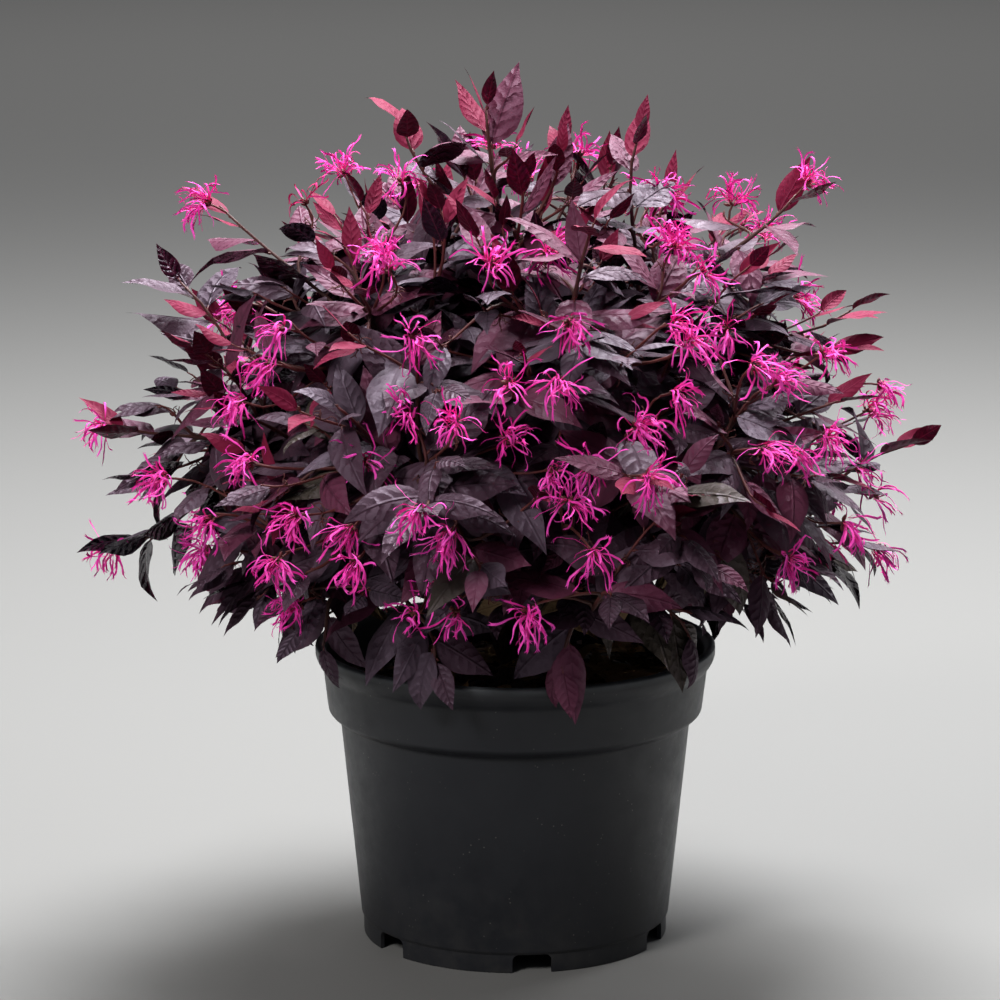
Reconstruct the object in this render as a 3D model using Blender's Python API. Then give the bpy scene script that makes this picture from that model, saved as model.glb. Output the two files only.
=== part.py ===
"""A Chinese fringe flower shrub in its nursery pot.

Metres, +Z up.  The origin is the middle of the pot's underside, and the
side of the plant that shows best faces -Y.  Pot, potting soil, main stem,
boughs and every mass of foliage are separate solids.
"""

from math import asin, cos, degrees, pi, radians, sin, sqrt
from random import Random

import bmesh
import bpy
from mathutils import Vector
from mathutils.bvhtree import BVHTree
from mathutils.geometry import intersect_ray_tri

CLEARANCE = 0.0003              # air kept between two pieces that meet
UP = Vector((0, 0, 1))

# Pot: a squat blown container, 28 cm across its lip, with a deep rim band
POT_HEIGHT = 0.209
POT_WALL = 0.0026
POT_SIDES = 36
LIP_RADIUS = 0.140
LIP_DEPTH = 0.011
LIP_ROUNDING = 0.002
BAND_TOP_RADIUS = 0.1345
BAND_FOOT_RADIUS = 0.1310
BAND_FOOT_HEIGHT = 0.160
BODY_TOP_RADIUS = 0.1228
BODY_TOP_HEIGHT = 0.1565
BODY_FOOT_RADIUS = 0.1085
FOOT_RING_HEIGHT = 0.014
FOOT_RING_RADIUS = 0.1073
FOOT_RING_WALL = 0.0032
FLOOR_THICKNESS = 0.0028
POT_EASING = 0.001              # drop of the small slopes under the lip and at the foot ring

# Drain notches in the foot ring, each with a drain slot in the floor behind it
NOTCHES = 6
FIRST_NOTCH = radians(6.3)      # turned from -Y towards +X
NOTCH_WIDTH = 0.027
NOTCH_HEIGHT = 0.0132
NOTCH_DEPTH = 0.016
NOTCH_ROUNDING = 0.004
NOTCH_ROUNDING_STEPS = 3
DRAIN_WIDTH = 0.018
DRAIN_DEPTH = 0.009
DRAIN_RADIUS = 0.090
DRAIN_FOOT = 0.004              # bottom of its cutter, in the open space under the floor

# Potting soil
SOIL_HEIGHT = 0.178
SOIL_EDGE_DROP = 0.003
SOIL_FLAT_RADIUS = 0.095

# Main stem: height above the soil, then radius, from the root flare to the fork
STEM_SIDES = 10
STEM_TAPER = ((0, 0.0190), (0.007, 0.0150), (0.018, 0.0124), (0.038, 0.0110), (0.062, 0.0096))
STEM_LEAN = Vector((-0.055, 0.030, 1))
STEM_FOOT = Vector((0.003, -0.001, SOIL_HEIGHT + CLEARANCE))

# Crown: a round head about this point, hollow inside the boughs' reach
CROWN_CENTRE = Vector((0, 0, 0.300))
CROWN_RADIUS = 0.292
CROWN_HOLLOW = 0.100            # the boughs end, and the masses begin, here
CROWN_LOWEST = radians(-36)
LEADER_BEND = Vector((-0.006, 0.004, 0))
SAG_BELOW = 5                   # degrees of elevation where the crown starts to draw in
SAG_PER_DEGREE = 0.0026
HANG_BELOW = 8                  # degrees below level where the shoots begin to hang
HANG_WITHIN = 26
HANG_MOST = 0.85
SHOOT_REACH = (0.93, 1.0)       # range, as shares of the crown's reach
CELL_MARGIN = 0.0006            # each side of the plane between two masses

# Boughs
BOUGHS = 5
FIRST_BOUGH = radians(-76)      # turned from +X towards +Y
BOUGH_SWAY = (3, -4, 2, -2, 4)  # degrees off an even spacing
BOUGH_SEATS = (0.42, 0.66, 0.50, 0.74, 0.58)    # shares of the main stem's length
BOUGH_RISE = 0.9                # of the setting-out, against straight out from the stem
SIDE_BOUGHS = (("low", 0.26), ("side", 0.48))   # and shares of the main bough's length
SIDE_BOUGH_RISE = 0.4
UPPER_ELEVATION = radians(52)
SIDE_ELEVATION = radians(15)
SIDE_TURN = radians(36)         # of a side mass from its main bough
LOW_ELEVATION = radians(-14)
BOUGH_SIDES = 7
BOUGH_ROOT_RADIUS = 0.0062
BOUGH_TIP_RADIUS = 0.0036
LEADER_ROOT_RADIUS = 0.0078
SIDE_BOUGH_SIDES = 6
SIDE_BOUGH_ROOT_RADIUS = 0.0042
SIDE_BOUGH_TIP_RADIUS = 0.0029
BOUGH_RINGS = 5
BOUGH_SWEEP = (0.5, 0.4)        # shares of its span that a bough keeps its first and last way for
WAY_STEP = 0.05                 # share of a limb's length over which its direction is taken
RIDGE_STEPS = 12                # points kept along each ridge between two rings

# Foliage
SHOOTS = 120                    # over the whole crown, with the leading shoots besides
STEM_ROOT_RADIUS = 0.0032
STEM_TIP_RADIUS = 0.0024
TWIG_ROOT_RADIUS = 0.0019
TWIG_TIP_RADIUS = 0.0016
TWIG_RINGS = 3
TWIG_ARCH = 0.12                # of its span, towards the mass's axis
TWIG_LIFT = 0.16
TIP_INSET = 0.95                # of a leaf's length, from the crown's outside in to a twig's tip
TWIG_SEATS = (0.2, 0.97)        # first and last twig, as shares of the stem's length
STEM_RINGS = 3
STEM_SHARE = 0.40               # of the way from the hollow to the crown's outside
CORE_DEPTH = 0.104              # of its outer end inside the crown's outside
CORE_SIDES = 7
CORE_WIDEST = 0.060
CORE_UNEVENNESS = (0.88, 1.0)
CORE_RINGS = ((0.04, 0.40), (0.40, 0.80), (0.80, 0.72), (1.0, 0.36))    # height, then share of room
FOLIAGE_TO_POT = 0.003
LEAVES_PER_SHOOT = 9
LEAF_ATTEMPTS = 30
LEAF_OPENING = (40, 80)         # degrees between a leaf and its twig
LEAF_RISE = (-0.4, 0.3)         # upward share of a leaf's way
LEAF_SIZES = (0.92, 1.1)
LEAF_PARTS = (0.94, 0.28)       # along the twig, from the first leaf to the last
LEAF_LOOSENESS = 0.3            # of the way its upper side faces
END_LEAF_SIZES = (1.0, 0.85, 0.7)       # tried in turn
END_LEAF_LOOSENESS = (0.15, 0.4)        # of its way, and of the way its upper side faces
LEAST_HIDDEN = 1                # bare samples that a leaf has to hide to be worth its place
BARE_SAMPLES = 3000             # directions over the crown by which bare space is judged
LEAF_LENGTH = 0.074
LEAF_WIDTH = 0.042
LEAF_WIDEST = 0.42              # of its length from the root
LEAF_ROOT = 0.0016              # thickness at the root
LEAF_FOLD = 0.0045
LEAF_RECURVE = 0.08
BLOSSOM_EVERY = 2
BLOSSOM_PARTS = (0.7, 0.97)     # of its twig's length
PETALS = 6
PETAL_LENGTH = 0.027
PETAL_LENGTHS = (0.8, 1.1)      # range, as shares of that length
PETAL_DROOP = (0.1, 0.35)
PETAL_CUPPING = (0.1, 0.5)
PETAL_SPREAD = 0.85
BLOSSOM_CORE = 0.0045
BLOSSOM_STALK = 0.006
GOLDEN_ANGLE = pi*(3 - sqrt(5))
LEADING_ROOM = radians(8)       # kept clear of other shoots round a leading shoot
SEED = 20
FLAT_ENOUGH = radians(0.3)
JOINT_WELDS = (0.00025, 0.0001, 0.000003)
FEWEST_FACES = 10               # for each shape fused; fewer means that part of a mass was lost

# Shoots that give the crown its own outline: turn from +X towards +Y and
# elevation in degrees about the crown's centre, then the reach of the tip
LEADING_SHOOTS = (
    (186, 86, 0.314),
    (172, 74, 0.318),
    (-12, 72, 0.311),
    (188, 47, 0.326),
    (-8, 50, 0.325),
    (176, 35, 0.310),
    (-6, 33, 0.300),
    (184, 14, 0.314),
    (-4, 11, 0.304),
    (180, -4, 0.298),
    (5, -6, 0.279),
    (-103, 12, 0.311),
    (-72, 16, 0.300),
    (78, 14, 0.309),
    (106, 12, 0.300),
    (75, 52, 0.312),
    (-70, 55, 0.300),
    (-142, -40, 0.204),
    (-108, -41, 0.200),
    (-77, -43, 0.206),
    (-38, -38, 0.205),
    (30, -40, 0.204),
    (100, -41, 0.202),
    (165, -38, 0.206),
)


def material(name, colour, roughness):
    """A plain dielectric finish."""
    finish = bpy.data.materials.new(name)
    finish.use_nodes = True
    surface = finish.node_tree.nodes["Principled BSDF"]
    surface.inputs["Base Color"].default_value = (*colour, 1)
    surface.inputs["Roughness"].default_value = roughness
    surface.inputs["Metallic"].default_value = 0
    finish.diffuse_color = (*colour, 1)
    return finish


def solid(name, points, faces, finish):
    """A mesh object of the given points and faces."""
    mesh = bpy.data.meshes.new(name)
    mesh.from_pydata([tuple(p) for p in points], [], faces)
    mesh.materials.append(finish)
    made = bpy.data.objects.new(name, mesh)
    bpy.context.scene.collection.objects.link(made)
    return made


def turned(name, profile, finish):
    """A profile of (radius, height) points, top inside to bottom outside, turned about Z."""
    points = [(radius, 0, height) for radius, height in profile]
    edges = [(i, i + 1) for i in range(len(points) - 1)]
    mesh = bpy.data.meshes.new(name)
    mesh.from_pydata(points, edges, [])
    mesh.materials.append(finish)
    made = bpy.data.objects.new(name, mesh)
    bpy.context.scene.collection.objects.link(made)
    screw = made.modifiers.new("turn", "SCREW")
    screw.steps = POT_SIDES
    screw.render_steps = POT_SIDES
    screw.use_merge_vertices = True
    screw.merge_threshold = 0.00005
    screw.use_smooth_shade = True
    return made


def bezier(p0, p1, p2, count):
    """Evenly stepped points along a quadratic curve."""
    steps = [i/(count - 1) for i in range(count)]
    return [p0*(1 - t)**2 + p1*2*t*(1 - t) + p2*t*t for t in steps]


def ring_faces(count, sides):
    """Faces between rings of points, and the cap of the first ring."""
    faces = []
    for i in range(count - 1):
        for j in range(sides):
            k = (j + 1) % sides
            faces.append((i*sides + j, i*sides + k, (i + 1)*sides + k, (i + 1)*sides + j))
    faces.append(tuple(range(sides - 1, -1, -1)))
    return faces


def tube(path, radii, sides, first_normal=None, last_normal=None, pointed=False):
    """Points and faces of a closed tapering tube; its two end faces may be cut askew."""
    count = len(path)
    normals = [(path[min(i + 1, count - 1)] - path[max(i - 1, 0)]).normalized() for i in range(count)]
    if first_normal is not None:
        normals[0] = first_normal
    if last_normal is not None:
        normals[-1] = last_normal
    points = []
    across = normals[0].orthogonal().normalized()
    for centre, radius, normal in zip(path, radii, normals):
        across = (across - normal*across.dot(normal)).normalized()
        beside = normal.cross(across)
        for j in range(sides):
            turn = 2*pi*j/sides
            points.append(centre + across*radius*cos(turn) + beside*radius*sin(turn))
    faces = ring_faces(count, sides)
    last = (count - 1)*sides
    if pointed:
        points.append(path[-1] + normals[-1]*radii[-1]*2)
        faces += [(last + j, last + (j + 1) % sides, len(points) - 1) for j in range(sides)]
    else:
        faces.append(tuple(range(last, last + sides)))
    return points, faces


def spread(first, last, count):
    """Even steps from one number to another."""
    return [first + (last - first)*i/(count - 1) for i in range(count)]


def heading(turn, elevation):
    """The unit vector at a turn from +X towards +Y and an elevation, in radians."""
    return Vector((cos(turn)*cos(elevation), sin(turn)*cos(elevation), sin(elevation)))


def spiral(count, lowest):
    """Evenly spread directions over a ball, from its top down to the sine of an elevation."""
    directions = []
    for i in range(count):
        height = 1 - (1 - lowest)*(i + 0.5)/count
        level = sqrt(1 - height*height)
        turn = i*GOLDEN_ANGLE
        directions.append(Vector((level*cos(turn), level*sin(turn), height)))
    return directions


# Pot and soil

def pot_outer_profile():
    """Outer side of the pot, from the top of the lip down to the foot."""
    return [
        (LIP_RADIUS - LIP_ROUNDING, POT_HEIGHT),
        (LIP_RADIUS, POT_HEIGHT - LIP_ROUNDING),
        (LIP_RADIUS, POT_HEIGHT - LIP_DEPTH + LIP_ROUNDING),
        (LIP_RADIUS - LIP_ROUNDING, POT_HEIGHT - LIP_DEPTH),
        (BAND_TOP_RADIUS, POT_HEIGHT - LIP_DEPTH - POT_EASING),
        (BAND_FOOT_RADIUS, BAND_FOOT_HEIGHT + LIP_ROUNDING),
        (BAND_FOOT_RADIUS - LIP_ROUNDING, BAND_FOOT_HEIGHT),
        (BODY_TOP_RADIUS, BODY_TOP_HEIGHT),
        (BODY_FOOT_RADIUS, FOOT_RING_HEIGHT),
        (FOOT_RING_RADIUS, FOOT_RING_HEIGHT - POT_EASING),
        (FOOT_RING_RADIUS, 0),
    ]


def pot_inner_profile():
    """Inner side of the pot, from the middle of its floor up to the lip."""
    floor_top = FOOT_RING_HEIGHT + FLOOR_THICKNESS
    return [
        (0, floor_top),
        (BODY_FOOT_RADIUS - POT_WALL, floor_top),
        (BODY_TOP_RADIUS - POT_WALL, BODY_TOP_HEIGHT),
        (BAND_FOOT_RADIUS - POT_WALL, BAND_FOOT_HEIGHT),
        (BAND_TOP_RADIUS - POT_WALL, POT_HEIGHT - LIP_ROUNDING),
        (BAND_TOP_RADIUS - POT_WALL + LIP_ROUNDING, POT_HEIGHT),
    ]


def notch_cutter(finish):
    """Six round-cornered blocks for the notches, and six smaller ones for the drain slots."""
    shape = bmesh.new()
    for i in range(NOTCHES):
        turn = FIRST_NOTCH - pi/2 + 2*pi*i/NOTCHES
        out = heading(turn, 0)
        beside = UP.cross(out)
        for radius, depth, width, bottom, top in (
            (FOOT_RING_RADIUS, NOTCH_DEPTH, NOTCH_WIDTH, -NOTCH_HEIGHT, NOTCH_HEIGHT),
            (DRAIN_RADIUS, DRAIN_DEPTH, DRAIN_WIDTH, DRAIN_FOOT, FOOT_RING_HEIGHT + 2*FLOOR_THICKNESS),
        ):
            block = bmesh.ops.create_cube(shape, size=1)["verts"]
            for vert in block:
                x, y, z = vert.co
                place = out*(radius + x*depth) + beside*y*width
                vert.co = place + UP*((bottom + top)/2 + z*(top - bottom))
            edges = {edge for vert in block for edge in vert.link_edges}
            upper = [
                edge for edge in edges
                if min(vert.co.z for vert in edge.verts) > (bottom + top)/2
                and abs((edge.verts[0].co - edge.verts[1].co).dot(out)) > depth/2
            ]
            bmesh.ops.bevel(
                shape, geom=upper, offset=NOTCH_ROUNDING, segments=NOTCH_ROUNDING_STEPS,
                affect="EDGES", profile=0.5,
            )
    mesh = bpy.data.meshes.new("notch_cutter")
    shape.to_mesh(mesh)
    shape.free()
    mesh.materials.append(finish)
    cutter = bpy.data.objects.new("notch_cutter", mesh)
    bpy.context.scene.collection.objects.link(cutter)
    cutter.hide_render = True
    cutter.display_type = "WIRE"
    return cutter


def make_pot(finish):
    """The pot with its lip, rim band, foot ring, notches and drain slots."""
    underside = [
        (FOOT_RING_RADIUS - FOOT_RING_WALL, 0),
        (FOOT_RING_RADIUS - FOOT_RING_WALL, FOOT_RING_HEIGHT),
        (0, FOOT_RING_HEIGHT),
    ]
    pot = turned("pot", pot_inner_profile() + pot_outer_profile() + underside, finish)
    cut = pot.modifiers.new("notches", "BOOLEAN")
    cut.operation = "DIFFERENCE"
    cut.object = notch_cutter(finish)
    return pot


def make_soil(finish):
    """Potting soil that fills the pot to 3 cm below its lip, with a level top."""
    inside = [
        (max(radius - CLEARANCE, 0), height + CLEARANCE)
        for radius, height in pot_inner_profile()
        if height <= BAND_FOOT_HEIGHT
    ]
    edge_height = SOIL_HEIGHT - SOIL_EDGE_DROP
    rise = (edge_height - BAND_FOOT_HEIGHT)/(POT_HEIGHT - LIP_ROUNDING - BAND_FOOT_HEIGHT)
    edge_radius = inside[-1][0] + rise*(BAND_TOP_RADIUS - BAND_FOOT_RADIUS)
    top = [(0, SOIL_HEIGHT), (SOIL_FLAT_RADIUS, SOIL_HEIGHT), (edge_radius, edge_height)]
    return turned("potting_soil", top + inside[::-1], finish)


# Limbs

class Limb:
    """A tapering limb along a path, which other limbs can be seated on."""

    def __init__(self, path, radii):
        self.path = path
        self.radii = radii
        self.ridges = []

    def at(self, part):
        """Centre and radius at a share of the limb's length."""
        place = part*(len(self.path) - 1)
        i = min(int(place), len(self.path) - 2)
        t = place - i
        centre = self.path[i].lerp(self.path[i + 1], t)
        return centre, self.radii[i] + (self.radii[i + 1] - self.radii[i])*t

    def way(self, part):
        """The limb's direction at a share of its length."""
        ahead, _ = self.at(min(part + WAY_STEP, 1))
        behind, _ = self.at(max(part - WAY_STEP, 0))
        return (ahead - behind).normalized()

    def skin(self, sides, finish, name, *ends):
        """Makes the limb's solid, and keeps points along its ridges to seat other limbs by."""
        points, faces = tube(self.path, self.radii, sides, *ends)
        solid(name, points, faces, finish)
        for i in range(len(self.path) - 1):
            for j in range(sides):
                low, high = points[i*sides + j], points[(i + 1)*sides + j]
                self.ridges += [low.lerp(high, step/RIDGE_STEPS) for step in range(RIDGE_STEPS + 1)]

    def seat(self, part, towards, reach):
        """Root point and outward normal for a side limb that leaves towards a point."""
        centre, _ = self.at(part)
        along = self.way(part)
        out = towards - centre
        out = (out - along*out.dot(along)).normalized()
        near = [ridge - centre for ridge in self.ridges]
        near = [gap for gap in near if gap.dot(out) > 0 and (gap - out*gap.dot(out)).length < reach]
        return centre + out*(max(gap.dot(out) for gap in near) + CLEARANCE), out


def main_stem_limb():
    """The short main stem, leaning a little, with its root flare at the soil."""
    lean = STEM_LEAN.normalized()
    path = [STEM_FOOT + lean*(height/lean.z) for height, _ in STEM_TAPER]
    return Limb(path, [radius for _, radius in STEM_TAPER])


def bough(name, parent, part, axis, radii, sides, rise, finish):
    """One tapering limb from its seat on the parent to the inner edge of its foliage mass."""
    end = CROWN_CENTRE + axis*(CROWN_HOLLOW - CLEARANCE)
    root, out = parent.seat(part, end, radii[0])
    span = (end - root).length
    setting_out = (out + UP*rise).normalized()
    bend = (root + setting_out*span*BOUGH_SWEEP[0] + end - axis*span*BOUGH_SWEEP[1])/2
    limb = Limb(bezier(root, bend, end, BOUGH_RINGS), spread(radii[0], radii[1], BOUGH_RINGS))
    limb.skin(sides, finish, name, out, axis)
    return limb


def leader(parent, axis, finish):
    """The middle limb, which carries the main stem on up to the top of the crown."""
    root = parent.path[-1] + STEM_LEAN.normalized()*CLEARANCE
    end = CROWN_CENTRE + axis*(CROWN_HOLLOW - CLEARANCE)
    bend = (root + end)/2 + LEADER_BEND
    taper = spread(LEADER_ROOT_RADIUS, BOUGH_TIP_RADIUS, BOUGH_RINGS)
    limb = Limb(bezier(root, bend, end, BOUGH_RINGS), taper)
    limb.skin(BOUGH_SIDES, finish, "leader_bough", STEM_LEAN.normalized(), axis)


# Foliage

def leaf(root, along, above, length, width):
    """A blade folded along its middle, six faces, thickest at the root edge sunk in its twig."""
    left = above.cross(along).normalized()
    above = along.cross(left).normalized()
    middle = root + along*length*LEAF_WIDEST + above*LEAF_FOLD
    points = [
        root + above*LEAF_ROOT/2,
        root - above*LEAF_ROOT/2,
        middle + left*width/2,
        middle - left*width/2,
        root + along*length - above*length*LEAF_RECURVE,
    ]
    faces = [(0, 3, 4), (0, 4, 2), (1, 4, 3), (1, 2, 4), (1, 3, 0), (1, 0, 2)]
    return points, faces


def blossom(root, axis, rng):
    """A fringed bloom: a star whose long points are its petals, its back sunk in the twig."""
    across = axis.orthogonal().normalized()
    beside = axis.cross(across)
    middle = root + axis*BLOSSOM_STALK
    points = [root - axis*LEAF_ROOT/2, middle + axis*BLOSSOM_CORE]
    faces = []
    for i in range(PETALS):
        turn = 2*pi*i/PETALS
        notch = across*cos(turn) + beside*sin(turn)
        turn += pi/PETALS
        petal = across*cos(turn) + beside*sin(turn)
        length = PETAL_LENGTH*rng.uniform(*PETAL_LENGTHS)
        droop = UP*length*rng.uniform(*PETAL_DROOP)
        points.append(middle + notch*BLOSSOM_CORE)
        cupping = axis*length*rng.uniform(*PETAL_CUPPING)
        points.append(middle + petal*length*PETAL_SPREAD + cupping - droop)
        here = 2 + 2*i
        after = 2 + (2*i + 2) % (2*PETALS)
        faces += [(1, here, here + 1), (1, here + 1, after), (here, after, here + 1), (0, after, here)]
    return points, faces


def crown_reach(direction):
    """How far the crown reaches from its centre in a direction: it draws in underneath."""
    elevation = degrees(asin(max(-1, min(1, direction.z))))
    return CROWN_RADIUS - SAG_PER_DEGREE*max(0, SAG_BELOW - elevation)


def shoot_way(direction):
    """The way a shoot's end leaf points: straight out, but hanging under the crown's widest part."""
    hang = max(0, min(HANG_MOST, (-degrees(asin(direction.z)) - HANG_BELOW)/HANG_WITHIN))
    return (direction*(1 - hang) - UP*hang).normalized()


def crown_shoots(rng):
    """Direction and reach of every shoot: the leading shoots, and an even spiral between them."""
    leading = [(heading(radians(turn), radians(lift)), reach) for turn, lift, reach in LEADING_SHOOTS]
    shoots = []
    for direction in spiral(SHOOTS, sin(CROWN_LOWEST)):
        reach = crown_reach(direction)*rng.uniform(*SHOOT_REACH)
        if max(direction.dot(other) for other, _ in leading) < cos(LEADING_ROOM):
            shoots.append((direction, reach))
    return leading + shoots


def mass_axes():
    """Name and direction of every foliage mass: one on top, and three on each main bough."""
    axes = {"foliage_top": heading(radians(160), radians(87))}
    for k in range(BOUGHS):
        turn = FIRST_BOUGH + 2*pi*k/BOUGHS
        sway = radians(BOUGH_SWAY[k])
        tag = k + 1
        axes[f"foliage_upper_{tag}"] = heading(turn + sway, UPPER_ELEVATION - sway/2)
        axes[f"foliage_side_{tag}"] = heading(turn + SIDE_TURN - sway, SIDE_ELEVATION + sway)
        axes[f"foliage_low_{tag}"] = heading(turn + sway, LOW_ELEVATION)
    return axes


def clear_of_pot(point):
    """Whether a point of the foliage lies outside the pot and its lip."""
    level = sqrt(point.x**2 + point.y**2)
    return point.z > POT_HEIGHT + FOLIAGE_TO_POT or level > LIP_RADIUS + FOLIAGE_TO_POT


class Mass:
    """One mass of foliage: its own space among its neighbours, and the closed shapes in it."""

    def __init__(self, axis, others, rng):
        self.axis = axis
        self.walls = [(axis - other).normalized() for other in others]
        self.rng = rng
        self.shapes = []
        self.trees = []
        self.bare = [
            way for way in spiral(BARE_SAMPLES, sin(CROWN_LOWEST))
            if all(way.dot(wall) > 0 for wall in self.walls)
        ]

    def holds(self, points):
        """Whether points lie in this mass's own space, clear of boughs and pot."""
        for point in points:
            from_centre = point - CROWN_CENTRE
            if from_centre.dot(self.axis) < CROWN_HOLLOW or not clear_of_pot(point):
                return False
            if any(from_centre.dot(wall) < CELL_MARGIN for wall in self.walls):
                return False
        return True

    def has_room(self, shape, carrier):
        """Whether a shape keeps to the mass's space and crosses nothing but its carrier."""
        points, faces = shape
        middles = [points[i].lerp(points[j], 0.5) for face in faces for i, j in zip(face, face[1:])]
        if not self.holds(points[2:] + middles):
            return False
        tree = BVHTree.FromPolygons(points, faces)
        return not any(tree.overlap(other) for i, other in enumerate(self.trees) if i != carrier)

    def add(self, kind, shape):
        """Adds a shape, marks what a leaf hides, and gives the shape's number."""
        self.shapes.append((kind, shape))
        self.trees.append(BVHTree.FromPolygons(*shape))
        if kind == "leaf":
            hidden = self.hides(shape[0])
            self.bare = [way for way in self.bare if way not in hidden]
        return len(self.trees) - 1

    def grow_core(self):
        """The close thicket round the mass's stem, a faceted lump that follows its space."""
        height = crown_reach(self.axis) - CROWN_HOLLOW - CORE_DEPTH
        across = self.axis.orthogonal().normalized()
        beside = self.axis.cross(across)
        points = []
        for part, width in CORE_RINGS:
            along = self.axis*(CROWN_HOLLOW + height*part)
            for j in range(CORE_SIDES):
                turn = 2*pi*(j + part/2)/CORE_SIDES
                side = across*cos(turn) + beside*sin(turn)
                room = [-along.dot(wall)/side.dot(wall) for wall in self.walls if side.dot(wall) < 0]
                radius = min([CORE_WIDEST] + room)*width*self.rng.uniform(*CORE_UNEVENNESS)
                points.append(CROWN_CENTRE + along + side*radius)
        faces = ring_faces(len(CORE_RINGS), CORE_SIDES)
        faces.append(tuple(range(len(points) - CORE_SIDES, len(points))))
        self.core = self.add("core", (points, faces))

    def in_core(self, point):
        """Whether a point lies in the mass's core."""
        near, normal, _, _ = self.trees[self.core].find_nearest(point)
        return (point - near).dot(normal) < 0

    def hides(self, blade):
        """The bare directions that a leaf would hide, seen from the middle of the crown."""
        root, _, left, right, tip = blade
        halves = ((root, right, tip), (root, tip, left))
        return [
            way for way in self.bare
            if any(intersect_ray_tri(*half, way, CROWN_CENTRE) for half in halves)
        ]

    def sway(self):
        """A small vector that points anywhere."""
        return Vector([self.rng.uniform(-1, 1) for _ in range(3)])

    def grow_leaf(self, twig, carrier, part, hand, outward):
        """A leaf at a share of a twig's length, turned to hide the most bare space; else none."""
        root, way = twig.at(part)[0], twig.way(part)
        if self.in_core(root):
            return
        beside = way.cross(UP*0.8 + outward*0.4).normalized()
        best, best_shape = LEAST_HIDDEN, None
        for attempt in range(LEAF_ATTEMPTS):
            freedom = attempt/LEAF_ATTEMPTS
            least, most = LEAF_OPENING
            opening = radians(self.rng.uniform(least - 20*freedom, most + 10*freedom))
            along = way*cos(opening) + beside*hand*sin(opening)
            along = (along + UP*self.rng.uniform(*LEAF_RISE) + self.sway()*0.6*freedom).normalized()
            above = (UP*0.35 + outward*0.8 + self.sway()*LEAF_LOOSENESS).normalized()
            size = self.rng.uniform(*LEAF_SIZES)*(1 - 0.25*freedom)
            shape = leaf(root, along, above, LEAF_LENGTH*size, LEAF_WIDTH*size)
            hidden = len(self.hides(shape[0]))
            if hidden > best and self.has_room(shape, carrier):
                best, best_shape = hidden, shape
            hand = -hand
        if best_shape:
            self.add("leaf", best_shape)

    def grow_blossom(self, twig, carrier, outward):
        """A bloom beside a twig, facing out and down, where there is room."""
        for attempt in range(LEAF_ATTEMPTS):
            part = self.rng.uniform(*BLOSSOM_PARTS)
            beside = twig.way(part).cross(outward).normalized()*(-1)**attempt
            facing = outward*0.8 + beside*self.rng.uniform(0.2, 1) - UP*self.rng.uniform(-0.2, 0.5)
            shape = blossom(twig.at(part)[0], facing.normalized(), self.rng)
            if self.has_room(shape, carrier):
                self.add("blossom", shape)
                return

    def grow_twig(self, start, tip, outward):
        """A twig from the mass's stem to a place in the crown's outline, or nothing."""
        span = (tip - start).length
        taper = spread(TWIG_ROOT_RADIUS, TWIG_TIP_RADIUS, TWIG_RINGS)
        arch = (self.axis*TWIG_ARCH + UP*TWIG_LIFT*(1 - outward.z))*span
        for bend in (arch, Vector(), -arch/2):
            path = bezier(start, start.lerp(tip, 0.5) + bend, tip, TWIG_RINGS)
            shape = tube(path, taper, 3, None, None, True)
            if self.holds(shape[0]):
                return Limb(path, taper), self.add("twig", shape), outward
        return None

    def grow_all(self, shoots):
        """The mass's stem and twigs, then each twig's end leaf, bloom and side leaves."""
        base = CROWN_CENTRE + self.axis*CROWN_HOLLOW
        length = STEM_SHARE*(crown_reach(self.axis) - CROWN_HOLLOW)
        path = [base + self.axis*length*part for part in spread(0, 1, STEM_RINGS)]
        taper = spread(STEM_ROOT_RADIUS, STEM_TIP_RADIUS, STEM_RINGS)
        self.add("twig", tube(path, taper, 4, self.axis, None, True))
        self.grow_core()
        twigs = []
        shoots = sorted(shoots, key=lambda shoot: self.axis.dot(shoot[0]))
        for (direction, reach), part in zip(shoots, spread(*TWIG_SEATS, max(2, len(shoots)))):
            tip = CROWN_CENTRE + direction*reach - shoot_way(direction)*LEAF_LENGTH*TIP_INSET
            twigs.append(self.grow_twig(base + self.axis*length*part, tip, direction))
        twigs = [twig for twig in twigs if twig]
        for twig, carrier, outward in twigs:
            root = twig.path[-1] - twig.way(1)*TWIG_TIP_RADIUS*2
            for size in END_LEAF_SIZES:
                way = (shoot_way(outward) + self.sway()*END_LEAF_LOOSENESS[0]).normalized()
                above = (UP*0.6 + outward*0.6 + self.sway()*END_LEAF_LOOSENESS[1]).normalized()
                shape = leaf(root, way, above, LEAF_LENGTH*size, LEAF_WIDTH*size)
                if self.has_room(shape, carrier):
                    self.add("leaf", shape)
                    break
        for number, (twig, carrier, outward) in enumerate(twigs):
            if number % BLOSSOM_EVERY == 0:
                self.grow_blossom(twig, carrier, outward)
        for i, part in enumerate(spread(*LEAF_PARTS, LEAVES_PER_SHOOT)):
            for number, (twig, carrier, outward) in enumerate(twigs):
                self.grow_leaf(twig, carrier, part, (-1)**(i + number), outward)


def largest_shell(shape):
    """Drops a mesh's loose scraps and sealed hollows."""
    unseen = set(shape.verts)
    shells = []
    while unseen:
        shell = []
        waiting = [unseen.pop()]
        while waiting:
            vert = waiting.pop()
            shell.append(vert)
            for edge in vert.link_edges:
                other = edge.other_vert(vert)
                if other in unseen:
                    unseen.remove(other)
                    waiting.append(other)
        shells.append(shell)
    shells.sort(key=len)
    for shell in shells[:-1]:
        bmesh.ops.delete(shape, geom=shell, context="VERTS")


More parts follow.
